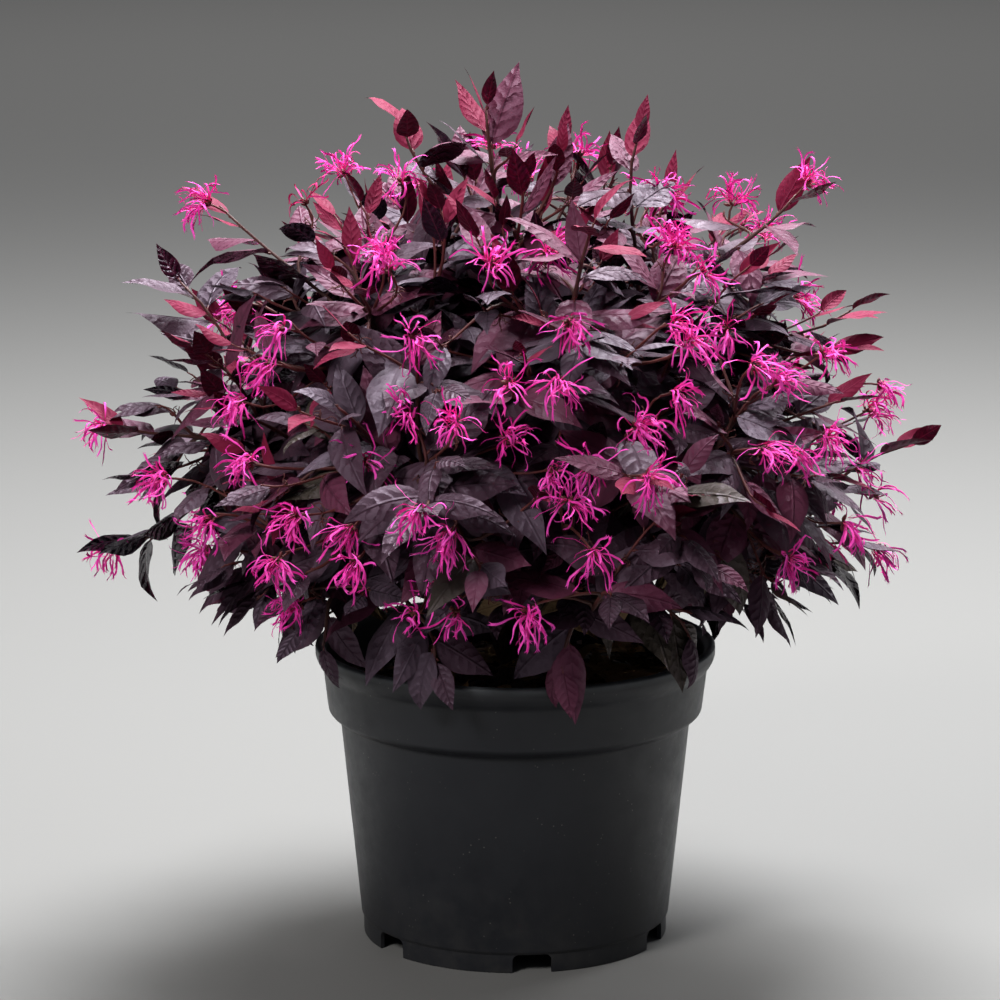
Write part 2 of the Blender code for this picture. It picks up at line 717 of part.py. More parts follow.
def tidied(mesh):
    """Welds the short edges that joining leaves, as far as the mesh stays closed; says whether it is."""
    for weld in JOINT_WELDS:
        shape = bmesh.new()
        shape.from_mesh(mesh)
        bmesh.ops.dissolve_limit(
            shape, angle_limit=FLAT_ENOUGH, verts=shape.verts, edges=shape.edges, delimit={"MATERIAL"}
        )
        bmesh.ops.triangulate(shape, faces=shape.faces)
        bmesh.ops.remove_doubles(shape, verts=shape.verts, dist=weld)
        bmesh.ops.dissolve_degenerate(shape, edges=shape.edges, dist=weld/2)
        bmesh.ops.triangulate(shape, faces=shape.faces)
        largest_shell(shape)
        closed = all(edge.is_manifold and edge.is_contiguous for edge in shape.edges)
        closed = closed and all(vert.is_manifold for vert in shape.verts)
        if closed:
            shape.to_mesh(mesh)
        shape.free()
        if closed:
            return True
    return False


def fused(name, shapes, finishes, solver):
    """One solid from many overlapping closed shapes, and whether it came out closed and whole."""
    loose = bpy.data.collections.new(name + "_shapes")
    bpy.context.scene.collection.children.link(loose)
    (kind, first), rest = shapes[0], shapes[1:]
    mass = solid(name, *first, finishes[kind])
    for kind, (points, faces) in rest:
        piece = solid(name + "_" + kind, points, faces, finishes[kind])
        bpy.context.scene.collection.objects.unlink(piece)
        loose.objects.link(piece)
    join = mass.modifiers.new("join", "BOOLEAN")
    join.operation = "UNION"
    join.operand_type = "COLLECTION"
    join.collection = loose
    join.solver = solver
    join.material_mode = "TRANSFER"
    evaluated = mass.evaluated_get(bpy.context.evaluated_depsgraph_get())
    mesh = bpy.data.meshes.new_from_object(evaluated)
    mesh.name = name
    mass.modifiers.clear()
    mass.data = mesh
    for piece in list(loose.objects):
        bpy.data.objects.remove(piece, do_unlink=True)
    bpy.data.collections.remove(loose)
    whole = tidied(mesh) and len(mesh.polygons) > FEWEST_FACES*len(shapes)
    return mass, whole


def make_mass(name, shapes, finishes):
    """A foliage mass; where both solvers leave it open, it is made with one leaf fewer."""
    for solver in ("EXACT", "MANIFOLD"):
        mass, whole = fused(name, shapes, finishes, solver)
        if whole:
            return mass
        bpy.data.objects.remove(mass, do_unlink=True)
    return make_mass(name, shapes[:-1], finishes)


def build():
    """The whole potted plant."""
    for item in list(bpy.data.objects):
        bpy.data.objects.remove(item, do_unlink=True)

    pot_black = material("pot_black", (0.017, 0.017, 0.019), 0.5)
    soil_brown = material("soil_brown", (0.045, 0.028, 0.018), 0.95)
    bark_brown = material("bark_brown", (0.10, 0.05, 0.035), 0.85)
    finishes = {
        "twig": material("twig_red_brown", (0.13, 0.035, 0.03), 0.7),
        "leaf": material("leaf_aubergine", (0.055, 0.022, 0.040), 0.45),
        "core": material("foliage_shade", (0.020, 0.010, 0.015), 0.8),
        "blossom": material("blossom_pink", (0.85, 0.03, 0.32), 0.6),
    }

    make_pot(pot_black)
    make_soil(soil_brown)

    axes = mass_axes()
    stem = main_stem_limb()
    stem.skin(STEM_SIDES, bark_brown, "main_stem", UP, STEM_LEAN.normalized())
    leader(stem, axes["foliage_top"], bark_brown)
    for k in range(BOUGHS):
        tag = k + 1
        limb = bough(
            f"main_bough_{tag}", stem, BOUGH_SEATS[k], axes[f"foliage_upper_{tag}"],
            (BOUGH_ROOT_RADIUS, BOUGH_TIP_RADIUS), BOUGH_SIDES, BOUGH_RISE, bark_brown,
        )
        for side, part in SIDE_BOUGHS:
            bough(
                f"{side}_bough_{tag}", limb, part, axes[f"foliage_{side}_{tag}"],
                (SIDE_BOUGH_ROOT_RADIUS, SIDE_BOUGH_TIP_RADIUS), SIDE_BOUGH_SIDES, SIDE_BOUGH_RISE,
                bark_brown,
            )

    rng = Random(SEED)
    shoots = crown_shoots(rng)
    for name, axis in axes.items():
        others = [other for key, other in axes.items() if key != name]
        own = [s for s in shoots if all(s[0].dot(axis) > s[0].dot(other) for other in others)]
        mass = Mass(axis, others, rng)
        mass.grow_all(own)
        make_mass(name, mass.shapes, finishes)


build()
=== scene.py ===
from math import asin, cos, degrees, pi, radians, sin, sqrt
from random import Random

import bmesh
import bpy
import numpy as np
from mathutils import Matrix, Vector, noise


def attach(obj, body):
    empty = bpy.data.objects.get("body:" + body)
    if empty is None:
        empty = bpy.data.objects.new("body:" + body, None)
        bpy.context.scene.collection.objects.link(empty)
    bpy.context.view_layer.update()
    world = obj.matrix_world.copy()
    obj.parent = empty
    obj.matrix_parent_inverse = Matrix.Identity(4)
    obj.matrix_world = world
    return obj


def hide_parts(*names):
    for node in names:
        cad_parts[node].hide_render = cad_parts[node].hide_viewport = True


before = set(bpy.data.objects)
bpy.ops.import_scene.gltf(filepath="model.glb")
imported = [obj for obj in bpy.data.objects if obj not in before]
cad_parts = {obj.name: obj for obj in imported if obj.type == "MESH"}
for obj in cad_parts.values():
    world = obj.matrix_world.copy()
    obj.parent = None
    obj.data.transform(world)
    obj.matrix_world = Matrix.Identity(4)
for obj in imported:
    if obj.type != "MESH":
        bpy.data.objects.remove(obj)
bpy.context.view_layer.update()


# Nursery pot: blown from black polyethylene in a split mould, with a rolled lip, a deep rim
# band that pots nest by, a tapered body and a foot ring with six notches. It is turned here
# from its rounded section, and the notches and drain slots are cut.

POT_TURNS = 144
POT_HEIGHT = 0.209
LIP_RADIUS = 0.140
POT_FLOOR = 0.014
pot_section = [                 # radius, height, rounding of the corner
    (0.0, 0.0168, 0),
    (0.1059, 0.0168, 0.003),
    (0.1202, 0.1565, 0.002),
    (0.1284, 0.1600, 0.002),
    (0.1319, 0.2050, 0.004),
    (0.1350, 0.2088, 0.0015),
    (0.1378, POT_HEIGHT, 0.0012),
    (LIP_RADIUS, 0.2078, 0.0014),
    (LIP_RADIUS, 0.2010, 0.0030),
    (0.1376, 0.1958, 0.0030),
    (0.1346, 0.1925, 0.0050),
    (0.1310, 0.1622, 0.0014),
    (0.1288, 0.1598, 0.0012),
    (0.1228, 0.1565, 0.0022),
    (0.1087, 0.0150, 0.0008),
    (0.1073, 0.0130, 0.0006),
    (0.1071, 0.0, 0.0009),
    (0.1041, 0.0, 0.0009),
    (0.1041, POT_FLOOR, 0.002),
    (0.0, POT_FLOOR, 0),
]
notch_turns = [radians(6.3 - 90 + 60*i) for i in range(6)]
pot_cuts = (                    # radius, depth, width, bottom, top and rounding of notch and slot
    (0.1073, 0.016, 0.027, -0.010, 0.0132, 0.0045),
    (0.090, 0.009, 0.018, 0.005, 0.020, 0.0035),
)


def shares(count):
    """Evenly spaced shares from 0 to 1."""
    return [i/(count - 1) for i in range(count)]


def curve(start, bend, end, count):
    """Points on a curve that sets out towards a bend and arrives from it."""
    return [start*(1 - t)**2 + bend*2*t*(1 - t) + end*t*t for t in shares(count)]


def rounded_section(section):
    """The section with each corner eased into a short curve of its own radius."""
    corners = [Vector((radius, height)) for radius, height, _ in section]
    eased = [corners[0]]
    for before, corner, after, (_, _, rounding) in zip(corners, corners[1:], corners[2:], section[1:]):
        into, away = before - corner, after - corner
        reach = min(rounding, into.length*0.45, away.length*0.45)
        eased += curve(corner + into.normalized()*reach, corner, corner + away.normalized()*reach, 5)
    return eased + [corners[-1]]


def closed_mesh(name, shape):
    """The mesh of a closed shape, with its faces turned outwards."""
    bmesh.ops.recalc_face_normals(shape, faces=shape.faces)
    mesh = bpy.data.meshes.new(name)
    shape.to_mesh(mesh)
    shape.free()
    return mesh


def turned_mesh(name, section, turns):
    """A closed mesh turned about the upright axis from a section that starts and ends on it."""
    shape = bmesh.new()
    rings = [
        [
            shape.verts.new((radius*cos(2*pi*j/turns), radius*sin(2*pi*j/turns), height))
            for j in range(turns)
        ]
        for radius, height in section[1:-1]
    ]
    first = shape.verts.new((0, 0, section[0][1]))
    last = shape.verts.new((0, 0, section[-1][1]))
    for j in range(turns):
        k = (j + 1) % turns
        shape.faces.new((first, rings[0][j], rings[0][k]))
        shape.faces.new((last, rings[-1][k], rings[-1][j]))
        for ring, other in zip(rings, rings[1:]):
            shape.faces.new((ring[j], other[j], other[k], ring[k]))
    return closed_mesh(name, shape)


def new_piece(name, mesh, *finishes):
    """An object of the scene that carries a mesh and its finishes."""
    for finish in finishes:
        mesh.materials.append(finish)
    piece = bpy.data.objects.new(name, mesh)
    bpy.context.scene.collection.objects.link(piece)
    return piece


def rounded_slot(shape, turn, radius, depth, width, low, high, rounding):
    """Adds a block with rounded upper corners to a shape, set radially, to cut a notch with."""
    out = Vector((cos(turn), sin(turn), 0))
    beside = Vector((-sin(turn), cos(turn), 0))
    outline = [(-width/2, low), (-width/2, high - rounding)]
    for step in range(1, 6):
        bend = pi/2*step/6
        outline.append((-width/2 + rounding*(1 - cos(bend)), high - rounding*(1 - sin(bend))))
    outline += [(-width/2 + rounding, high)]
    outline += [(-across, height) for across, height in reversed(outline)]
    inner, outer = [
        [shape.verts.new(out*reach + beside*across + Vector((0, 0, height))) for across, height in outline]
        for reach in (radius - depth/2, radius + depth/2)
    ]
    shape.faces.new(inner)
    shape.faces.new(list(reversed(outer)))
    for i in range(len(outline)):
        k = (i + 1) % len(outline)
        shape.faces.new((inner[i], outer[i], outer[k], inner[k]))


class Finish:
    """A finish under way: its material, and plain words for the nodes that make it up."""

    def __init__(self, name):
        self.material = bpy.data.materials.new(name)
        self.material.use_nodes = True
        self.tree = self.material.node_tree
        self.place = self.add("TexCoord", result="Object")

    def feed(self, socket, value):
        """Gives a socket a number, a colour or the result of another node."""
        if isinstance(value, bpy.types.NodeSocket):
            self.tree.links.new(value, socket)
        else:
            socket.default_value = (*value, 1) if socket.type == "RGBA" else value

    def add(self, kind, inputs=(), result=0, **settings):
        """One result of a new node."""
        node = self.tree.nodes.new("ShaderNode" + kind)
        for key, value in settings.items():
            setattr(node, key, value)
        for socket, value in dict(inputs).items():
            self.feed(node.inputs[socket], value)
        return node.outputs[result]

    def math(self, operation, *values, clamp=False):
        """A sum, a difference or the like of numbers."""
        return self.add("Math", dict(enumerate(values)), operation=operation, use_clamp=clamp)

    def times(self, number, other):
        """Two numbers multiplied."""
        return self.math("MULTIPLY", number, other)

    def clouds(self, scale, detail, roughness=0.5, place=None):
        """A cloudy pattern of numbers round a half."""
        sizes = {"Scale": scale, "Detail": detail, "Roughness": roughness}
        return self.add("TexNoise", {"Vector": place or self.place, **sizes})

    def cells(self, scale):
        """Distances from the middles of small cells."""
        return self.add("TexVoronoi", {"Vector": self.place, "Scale": scale})

    def carried(self, value, low, high, first, last):
        """A number carried from one range over to another."""
        return self.add("MapRange", {"Value": value, 1: low, 2: high, 3: first, 4: last})

    def ramp(self, value, *stops):
        """A number read off a ramp of (place, result) stops."""
        reading = self.add("ValToRGB", {0: value})
        scale = reading.node.color_ramp
        for element, (place, result) in zip(scale.elements, stops):
            element.position = place
            element.color = (result, result, result, 1)
        return reading

    def blend(self, share, low, high):
        """A colour between two others."""
        return self.add("Mix", {0: share, 6: low, 7: high}, 2, data_type="RGBA")

    def bump(self, height, strength, distance, **under):
        """Relief in the surface, over a finer relief where one is given as its Normal."""
        return self.add("Bump", {"Height": height, "Strength": strength, "Distance": distance, **under})

    def marks(self, name):
        """The three numbers that each corner of the mesh carries under a name."""
        three = self.add("Attribute", result="Vector", attribute_name=name)
        return self.add("SeparateXYZ", {0: three}).node.outputs

    def worn(self, colour, roughness, looks=()):
        """The material, once its surface has been given its colour, roughness and other looks."""
        for name, value in {"Base Color": colour, "Roughness": roughness, **dict(looks)}.items():
            self.feed(self.tree.nodes["Principled BSDF"].inputs[name], value)
        return self.material


def moulded_plastic():
    """Black polyethylene: mottled, faintly dusty, with soft ripples left by the mould, and a painted
    highlight along the top of the lip.
    """
    skin = Finish("pot_plastic")
    height = skin.add("SeparateXYZ", {0: skin.place}, 2)
    grime_and_highlight_noise = skin.clouds(55, 5, 0.7)
    mottle = skin.ramp(skin.clouds(14, 6, 0.6), (0.35, 0), (0.7, 1))
    base = skin.blend(mottle, (0.0108, 0.0117, 0.0155), (0.0172, 0.0183, 0.0228))
    low_dust = skin.carried(height, 0.0, 0.07, 0.16, 0.010)
    dusty = skin.times(low_dust, skin.ramp(grime_and_highlight_noise, (0.42, 0), (0.72, 1)))
    base = skin.blend(dusty, base, (0.105, 0.092, 0.075))
    speck_field = skin.ramp(skin.clouds(38, 2), (0.52, 0), (0.62, 1))
    speck = skin.times(skin.ramp(skin.cells(210), (0.07, 1), (0.12, 0)), speck_field)
    base = skin.blend(skin.times(speck, 0.55), base, (0.20, 0.19, 0.17))
    # Painted highlight: the top of the lip is lightened in patches to a pale blue-grey, as if it caught the
    # light.
    lip = skin.ramp(height, (0.2035, 0), (0.2070, 0.8))
    painted_lip_highlight = skin.times(lip, skin.ramp(grime_and_highlight_noise, (0.30, 0.4), (0.65, 1)))
    base = skin.blend(painted_lip_highlight, base, (0.085, 0.092, 0.100))
    grain = skin.bump(skin.clouds(1500, 2), 0.16, 0.0002)
    ripples = skin.bump(skin.clouds(22, 2), 0.30, 0.0012, Normal=grain)
    satin = skin.ramp(grime_and_highlight_noise, (0.3, 0.40), (0.7, 0.56))
    return skin.worn(base, satin, {"Specular IOR Level": 0.47, "Normal": ripples})


slots = bmesh.new()
for turn in notch_turns:
    for sizes in pot_cuts:
        rounded_slot(slots, turn, *sizes)
slot_block = new_piece("pot_slots", closed_mesh("pot_slots", slots))
pot_mesh = turned_mesh("nursery_pot", rounded_section(pot_section), POT_TURNS)
pot = new_piece("nursery_pot", pot_mesh, moulded_plastic())
cut = pot.modifiers.new("slots", "BOOLEAN")
cut.operation = "DIFFERENCE"
cut.object = slot_block
cut_mesh = bpy.data.meshes.new_from_object(pot.evaluated_get(bpy.context.evaluated_depsgraph_get()))
pot.modifiers.clear()
pot.data = cut_mesh
bpy.data.objects.remove(slot_block, do_unlink=True)
pot.data.shade_smooth()
pot.data.set_sharp_from_angle(angle=radians(38))
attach(pot, "root")
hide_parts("pot")


# Potting soil: moist composted bark that fills the pot to three centimetres below the lip,
# settled and uneven on top, with loose bark chips and a few white grains of perlite lying
# on it.

SOIL_TOP = 0.178
SOIL_RADIUS = 0.129
SOIL_RINGS = 46
SOIL_TURNS = 150
LITTER_REACH = 0.121
SOIL_SIDE = ((0.1287, 0.1745), (0.1281, 0.1603), (0.1199, 0.1568), (0.1056, 0.0171), (0, 0.0171))
CHIP_FACES = ((0, 3, 2, 1), (4, 5, 6, 7), (0, 1, 5, 4), (1, 2, 6, 5), (2, 3, 7, 6), (3, 0, 4, 7))
scatter = Random(3)


def soil_surface():
    """The soil's block: its sides follow the pot, its top is a worn, lumpy bed."""
    rings = [SOIL_RADIUS*sqrt(i/SOIL_RINGS) for i in range(1, SOIL_RINGS + 1)]
    top = [(r, SOIL_TOP - 0.0006*(r/SOIL_RADIUS)**6) for r in rings]
    section = [Vector(corner) for corner in ((0, SOIL_TOP), *top, *SOIL_SIDE)]
    mesh = turned_mesh("potting_soil_bed", section, SOIL_TURNS)
    for vert in mesh.vertices:
        x, y, z = vert.co
        if z > SOIL_TOP - 0.0015:
            lump = noise.fractal(Vector((x, y, 0))*60, 0.8, 2.0, 4)
            clod = noise.noise(Vector((x, y, 3))*240)
            vert.co.z += 0.0022*lump + 0.0009*clod
    mesh.shade_smooth()
    return mesh


def soil_finish():
    """Damp dark-brown compost, darker in its pits, with fibres and pale flecks."""
    skin = Finish("potting_mix")
    crumb = skin.cells(420)
    cloud = skin.clouds(90, 8, 0.7)
    base = skin.blend(skin.ramp(cloud, (0.3, 0), (0.72, 1)), (0.012, 0.007, 0.005), (0.075, 0.045, 0.026))
    fleck = skin.ramp(skin.add("SeparateColor", {0: crumb.node.outputs["Color"]}), (0.90, 0), (0.93, 1))
    crumbs = skin.bump(crumb, 0.8, 0.0012)
    lumps = skin.bump(cloud, 0.7, 0.002, Normal=crumbs)
    return skin.worn(skin.blend(fleck, base, (0.17, 0.11, 0.06)), 0.9, {"Normal": lumps})


def many_alike(name, points, faces, finish, marks=()):
    """One mesh of many like shapes; points are (shapes, corners, 3), marks are numbers on each corner."""
    shapes, corners, _ = points.shape
    loops = np.concatenate([np.array(face) for face in faces])
    sizes = np.tile([len(face) for face in faces], shapes)
    starts = np.concatenate(([0], np.cumsum(sizes)[:-1]))
    every_loop = (loops[None, :] + corners*np.arange(shapes)[:, None]).ravel()
    mesh = bpy.data.meshes.new(name)
    mesh.vertices.add(shapes*corners)
    mesh.vertices.foreach_set("co", points.astype(np.float32).ravel())
    mesh.loops.add(len(every_loop))
    mesh.polygons.add(len(sizes))
    mesh.polygons.foreach_set("loop_start", starts.astype(np.int32))
    mesh.polygons.foreach_set("vertices", every_loop.astype(np.int32))
    for mark, values in dict(marks).items():
        attribute = mesh.attributes.new(mark, "FLOAT_VECTOR", "POINT")
        attribute.data.foreach_set("vector", values.astype(np.float32).ravel())
    mesh.update(calc_edges=True)
    mesh.validate()
    mesh.shade_smooth()
    return new_piece(name, mesh, finish)


def litter(name, count, sizes, lean, height, finish):
    """Small uneven blocks that lie about on the soil, each of its own shade."""
    points, shades = [], []
    for _ in range(count):
        turn, reach = scatter.uniform(0, 2*pi), LITTER_REACH*sqrt(scatter.uniform(0.01, 1))
        middle = Vector((reach*cos(turn), reach*sin(turn), SOIL_TOP + height))
        long, wide, thick = (scatter.uniform(*span) for span in sizes)
        lie = scatter.uniform(0, 2*pi)
        tilt = scatter.uniform(-lean, lean)
        along = Vector((cos(lie)*cos(tilt), sin(lie)*cos(tilt), sin(tilt)))
        beside = Vector((-sin(lie), cos(lie), scatter.uniform(-lean, lean))).normalized()
        above = along.cross(beside)
        block = []
        for level in (-1, 1):
            for forth, side in ((-1, -1), (1, -1), (1, 1), (-1, 1)):
                corner = along*long*forth + beside*wide*side + above*thick*level
                block.append(middle + corner*scatter.uniform(0.32, 0.55))
        points.append(block)
        shades.append([(scatter.random(), scatter.random(), 0)]*len(block))
    return many_alike(name, np.array(points), CHIP_FACES, finish, {"shade": np.array(shades)})


def chip_finish(name, dark, pale, roughness):
    """Flat chips, each of its own shade between two colours, with a woody grain."""
    skin = Finish(name)
    shade, _, _ = skin.marks("shade")
    grain = skin.clouds(700, 5)
    pick = skin.math("ADD", shade, skin.times(grain, 0.5))
    pick = skin.math("SUBTRACT", pick, 0.25, clamp=True)
    return skin.worn(skin.blend(pick, dark, pale), roughness, {"Normal": skin.bump(grain, 0.5, 0.0006)})


soil = new_piece("potting_soil_bed", soil_surface(), soil_finish())
chips = litter(
    "bark_chips", count=620, sizes=((0.005, 0.017), (0.003, 0.009), (0.001, 0.003)),
    lean=0.35, height=0.0015,
    finish=chip_finish("bark_chip", (0.018, 0.010, 0.006), (0.16, 0.09, 0.045), 0.85),
)
chips.data.shade_flat()
perlite = litter(
    "perlite_grains", count=46, sizes=((0.002, 0.0045), (0.002, 0.004), (0.0015, 0.003)),
    lean=0.5, height=0.002,
    finish=chip_finish("perlite", (0.42, 0.40, 0.36), (0.80, 0.79, 0.75), 0.9),
)
for piece in (soil, chips, perlite):
    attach(piece, "root")
    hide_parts("potting_soil")


# Main stem: one short woody stem, some two centimetres thick, that stands in the soil on a
# flared root crown and leans a little. Its grey-brown bark is finely fissured along the
# grain, and the fissures and knots are real relief here.

UP = Vector((0, 0, 1))
STEM_TAPER = ((0, 0.0190), (0.007, 0.0150), (0.018, 0.0124), (0.038, 0.0110), (0.062, 0.0096))
STEM_LEAN = Vector((-0.055, 0.030, 1))
STEM_FOOT = Vector((0.003, -0.001, 0.1783))
STEM_BURIED = 0.006             # how far the stem goes on below the soil
BURIED_RADIUS = 0.021
STEM_SIDES, STEM_RINGS = 30, 60


def tube_frames(path):
    """Two directions across a path at each of its points, carried along without twist."""
    count = len(path)
    ways = [(path[min(i + 1, count - 1)] - path[max(i - 1, 0)]).normalized() for i in range(count)]
    across = ways[0].orthogonal().normalized()
    frames = []
    for way in ways:
        across = (across - way*across.dot(way)).normalized()
        frames.append((across, way.cross(across)))
    return frames


def tube_faces(rings, sides):
    """Faces of one tube, closed at its far end."""
    faces = [
        (i*sides + j, i*sides + (j + 1) % sides, (i + 1)*sides + (j + 1) % sides, (i + 1)*sides + j)
        for i in range(rings - 1) for j in range(sides)
    ]
    return faces + [tuple(range((rings - 1)*sides, rings*sides))]


def smooth_path(points, count):
    """Evenly stepped points on a smooth curve through a few given ones."""
    ends = [points[0]*2 - points[1]] + list(points) + [points[-1]*2 - points[-2]]
    spans = len(points) - 1
    path = []
    for share in shares(count):
        place = share*spans
        i = min(int(place), spans - 1)
        t = place - i
        a, b, c, d = ends[i:i + 4]
        path.append((b*2 + (c - a)*t + (a*2 - b*5 + c*4 - d)*t*t + (b*3 - a - c*3 + d)*t**3)/2)
    return path


def bark_limb(name, points, radii, sides, rings, flare=0):
    """A limb's skin with its bark's ridges and knots as real relief, flared at the foot or not."""
    path = smooth_path(points, rings)
    skin = []
    for i, (centre, (across, beside)) in enumerate(zip(path, tube_frames(path))):
        place = i/(rings - 1)*(len(radii) - 1)
        k = min(int(place), len(radii) - 2)
        radius = radii[k] + (radii[k + 1] - radii[k])*(place - k)
        for j in range(sides):
            turn = 2*pi*j/sides
            out = across*cos(turn) + beside*sin(turn)
            knot = noise.noise((centre + out*radius)*85)
            fissure = abs(noise.noise(Vector((cos(turn)*3.2, sin(turn)*3.2, i*0.11 + centre.x*9))))
            root_flare = flare*0.16*cos(5*turn + 0.6)*max(0, 1 - i/rings*5)
            skin.append(centre + out*radius*(1 + 0.16*(0.22 - fissure) + 0.10*knot + root_flare))
    faces = tube_faces(rings, sides) + [tuple(range(sides - 1, -1, -1))]
    return many_alike(name, np.array([skin]), faces, bark)


def bark_finish():
    """Grey-brown bark: fine fissures along the limb, paler lichen-grey ridges."""
    skin = Finish("shrub_bark")
    stretched = skin.add("Mapping", {"Vector": skin.place, "Scale": (1, 1, 0.22)})
    strip = skin.clouds(420, 6, 0.65, stretched)
    base = skin.blend(skin.ramp(strip, (0.36, 0), (0.64, 1)), (0.030, 0.017, 0.012), (0.155, 0.098, 0.068))
    lichen = skin.ramp(skin.clouds(70, 3), (0.5, 0), (0.8, 0.6))
    base = skin.blend(lichen, base, (0.17, 0.15, 0.125))
    return skin.worn(base, 0.82, {"Normal": skin.bump(strip, 0.7, 0.0009)})


bark = bark_finish()
stem_way = STEM_LEAN.normalized()
stem_path = [STEM_FOOT + stem_way*(height/stem_way.z) for height, _ in STEM_TAPER]
stem_radii = [radius for _, radius in STEM_TAPER]
buried = stem_path[0] - UP*STEM_BURIED
buried_radii = [BURIED_RADIUS] + stem_radii
stem_skin = bark_limb("main_stem_bark", [buried] + stem_path, buried_radii, STEM_SIDES, STEM_RINGS, flare=1)
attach(stem_skin, "root")
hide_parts("main_stem")


# Boughs: a leader carries the stem on upwards, and five main boughs leave it low down, each
# with two side boughs. Every one is a single tapering limb with the stem's bark, and it
# ends inside its own mass of foliage.

CROWN_CENTRE = Vector((0, 0, 0.300))
CROWN_HOLLOW = 0.100
BOUGHS = 5
FIRST_BOUGH = radians(-76)
BOUGH_SWAY = (3, -4, 2, -2, 4)
BOUGH_SEATS = (0.42, 0.66, 0.50, 0.74, 0.58)
BOUGH_RADII = (0.0062, 0.0036)
SIDE_SEATS = (("low", 0.26), ("side", 0.48))
SIDE_RADII = (0.0042, 0.0029)
LEADER_RADII = [0.0096, 0.0068, 0.0057, 0.0047, 0.0036]
BOUGH_SIDES, BOUGH_RINGS = 14, 44


def heading(turn, lift):
    """The unit vector at a turn from +X towards +Y and a lift above the level."""
    return Vector((cos(turn)*cos(lift), sin(turn)*cos(lift), sin(lift)))


def mass_axes():
    """Name and direction of each foliage mass: one on top, three on each main bough."""
    axes = {"foliage_top": heading(radians(160), radians(87))}
    for k in range(BOUGHS):
        turn = FIRST_BOUGH + 2*pi*k/BOUGHS
        sway = radians(BOUGH_SWAY[k])
        axes[f"foliage_upper_{k + 1}"] = heading(turn + sway, radians(52) - sway/2)
        axes[f"foliage_side_{k + 1}"] = heading(turn + radians(36) - sway, radians(15) + sway)
        axes[f"foliage_low_{k + 1}"] = heading(turn + sway, radians(-14))
    return axes


def along_limb(path, radii, part):
    """Centre, radius and direction at a share of a limb's length."""
    place = part*(len(path) - 1)
    i = min(int(place), len(path) - 2)
    t = place - i
    centre = path[i].lerp(path[i + 1], t)
    return centre, radii[i] + (radii[i + 1] - radii[i])*t, (path[i + 1] - path[i]).normalized()


def tapering(first, last, count):
    """Evenly changing radii from one end of a limb to the other."""
    return [first + (last - first)*share for share in shares(count)]


def bough_limb(path, radii, part, axis, own_radii, rise):
    """Route and radii of a bough, from inside its parent to the inner edge of its mass."""
    end = CROWN_CENTRE + axis*CROWN_HOLLOW
    centre, radius, along = along_limb(path, radii, part)
    out = end - centre
    out = (out - along*out.dot(along)).normalized()
    root = centre + out*radius
    span = (end - root).length
    setting_out = (out + UP*rise).normalized()
    bend = (root + setting_out*span*0.5 + end - axis*span*0.4)/2
    return curve(root, bend, end, 5), tapering(*own_radii, 5), centre + out*radius*0.3


axes = mass_axes()
mass_names = list(axes)
leader_end = CROWN_CENTRE + axes["foliage_top"]*CROWN_HOLLOW
leader_bend = (stem_path[-1] + leader_end)/2 + Vector((-0.006, 0.004, 0))
boughs = {"leader_bough": (curve(stem_path[-1], leader_bend, leader_end, 5), LEADER_RADII, stem_path[-2])}
for k in range(BOUGHS):
    axis = axes[f"foliage_upper_{k + 1}"]
    path, radii, inside = bough_limb(stem_path, stem_radii, BOUGH_SEATS[k], axis, BOUGH_RADII, 0.9)
    boughs[f"main_bough_{k + 1}"] = (path, radii, inside)
    for side, part in SIDE_SEATS:
        axis = axes[f"foliage_{side}_{k + 1}"]
        boughs[f"{side}_bough_{k + 1}"] = bough_limb(path, radii, part, axis, SIDE_RADII, 0.4)
for name, (path, radii, inside) in boughs.items():
    radii = [radii[0]*1.1] + radii
    limb = bark_limb(name + "_bark", [inside] + path, radii, BOUGH_SIDES, BOUGH_RINGS)
    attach(limb, "root")
    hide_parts(name)


# Twigs: from the end of each bough a stem runs on into its mass and branches into thin
# red-brown twigs, which branch again. They fill the round crown, arch a little and hang
# where they leave it low down. A few leading shoots stand out of its outline.

CROWN_RADIUS = 0.292
CROWN_LOWEST = sin(radians(-36))
CROWN_UNDERSIDE = 0.262
LIP_CLEARANCE = 0.003
GOLDEN_ANGLE = pi*(3 - sqrt(5))
TWIG_RINGS = 9
FIRST_SHOOTS = 120              # before the ones too near a leading shoot are left out
FINE_SHOOTS = 360               # the same, for the ones too near a first shoot
INNER_SHOOTS = 23
LEADING_GAP = 8                 # degrees
FINE_GAP = 3.4
STEM_SHARE = 0.46               # how far a mass's own stem runs on towards its edge
STEM_END_RADII = (0.0034, 0.0022)
SHOOT_RADII = (0.0019, 0.0008)
FINE_RADII = (0.0013, 0.0006)
INNER_RADII = (0.0013, 0.0007)
TIP_LEAVES = 0.040              # how far the leaves at a shoot's tip reach beyond its twig
TWIG_SIDES = 6
leading_shoots = (              # turn and lift in degrees, reach from the centre, colour
    (186, 86, 0.311, "plum"), (172, 74, 0.309, "crimson"), (-12, 72, 0.307, "crimson"),
    (188, 47, 0.326, "plum"), (-8, 50, 0.325, "plum"), (176, 35, 0.310, "aubergine"),
    (-6, 33, 0.300, "plum"), (184, 14, 0.314, "crimson"), (-4, 11, 0.304, "slate"),
    (180, -4, 0.298, "slate"), (5, -6, 0.279, "aubergine"), (-103, 12, 0.311, "aubergine"),
    (-72, 16, 0.300, "plum"), (78, 14, 0.309, "plum"), (106, 12, 0.300, "aubergine"),
    (75, 52, 0.312, "plum"), (-70, 55, 0.300, "crimson"), (-142, -29, 0.200, "aubergine"),
    (-110, -29, 0.194, "slate"), (-79, -30, 0.197, "plum"), (-44, -26, 0.194, "green_black"),
    (30, -30, 0.200, "aubergine"), (100, -30, 0.198, "plum"), (165, -29, 0.202, "aubergine"),
)
growth = Random(20)


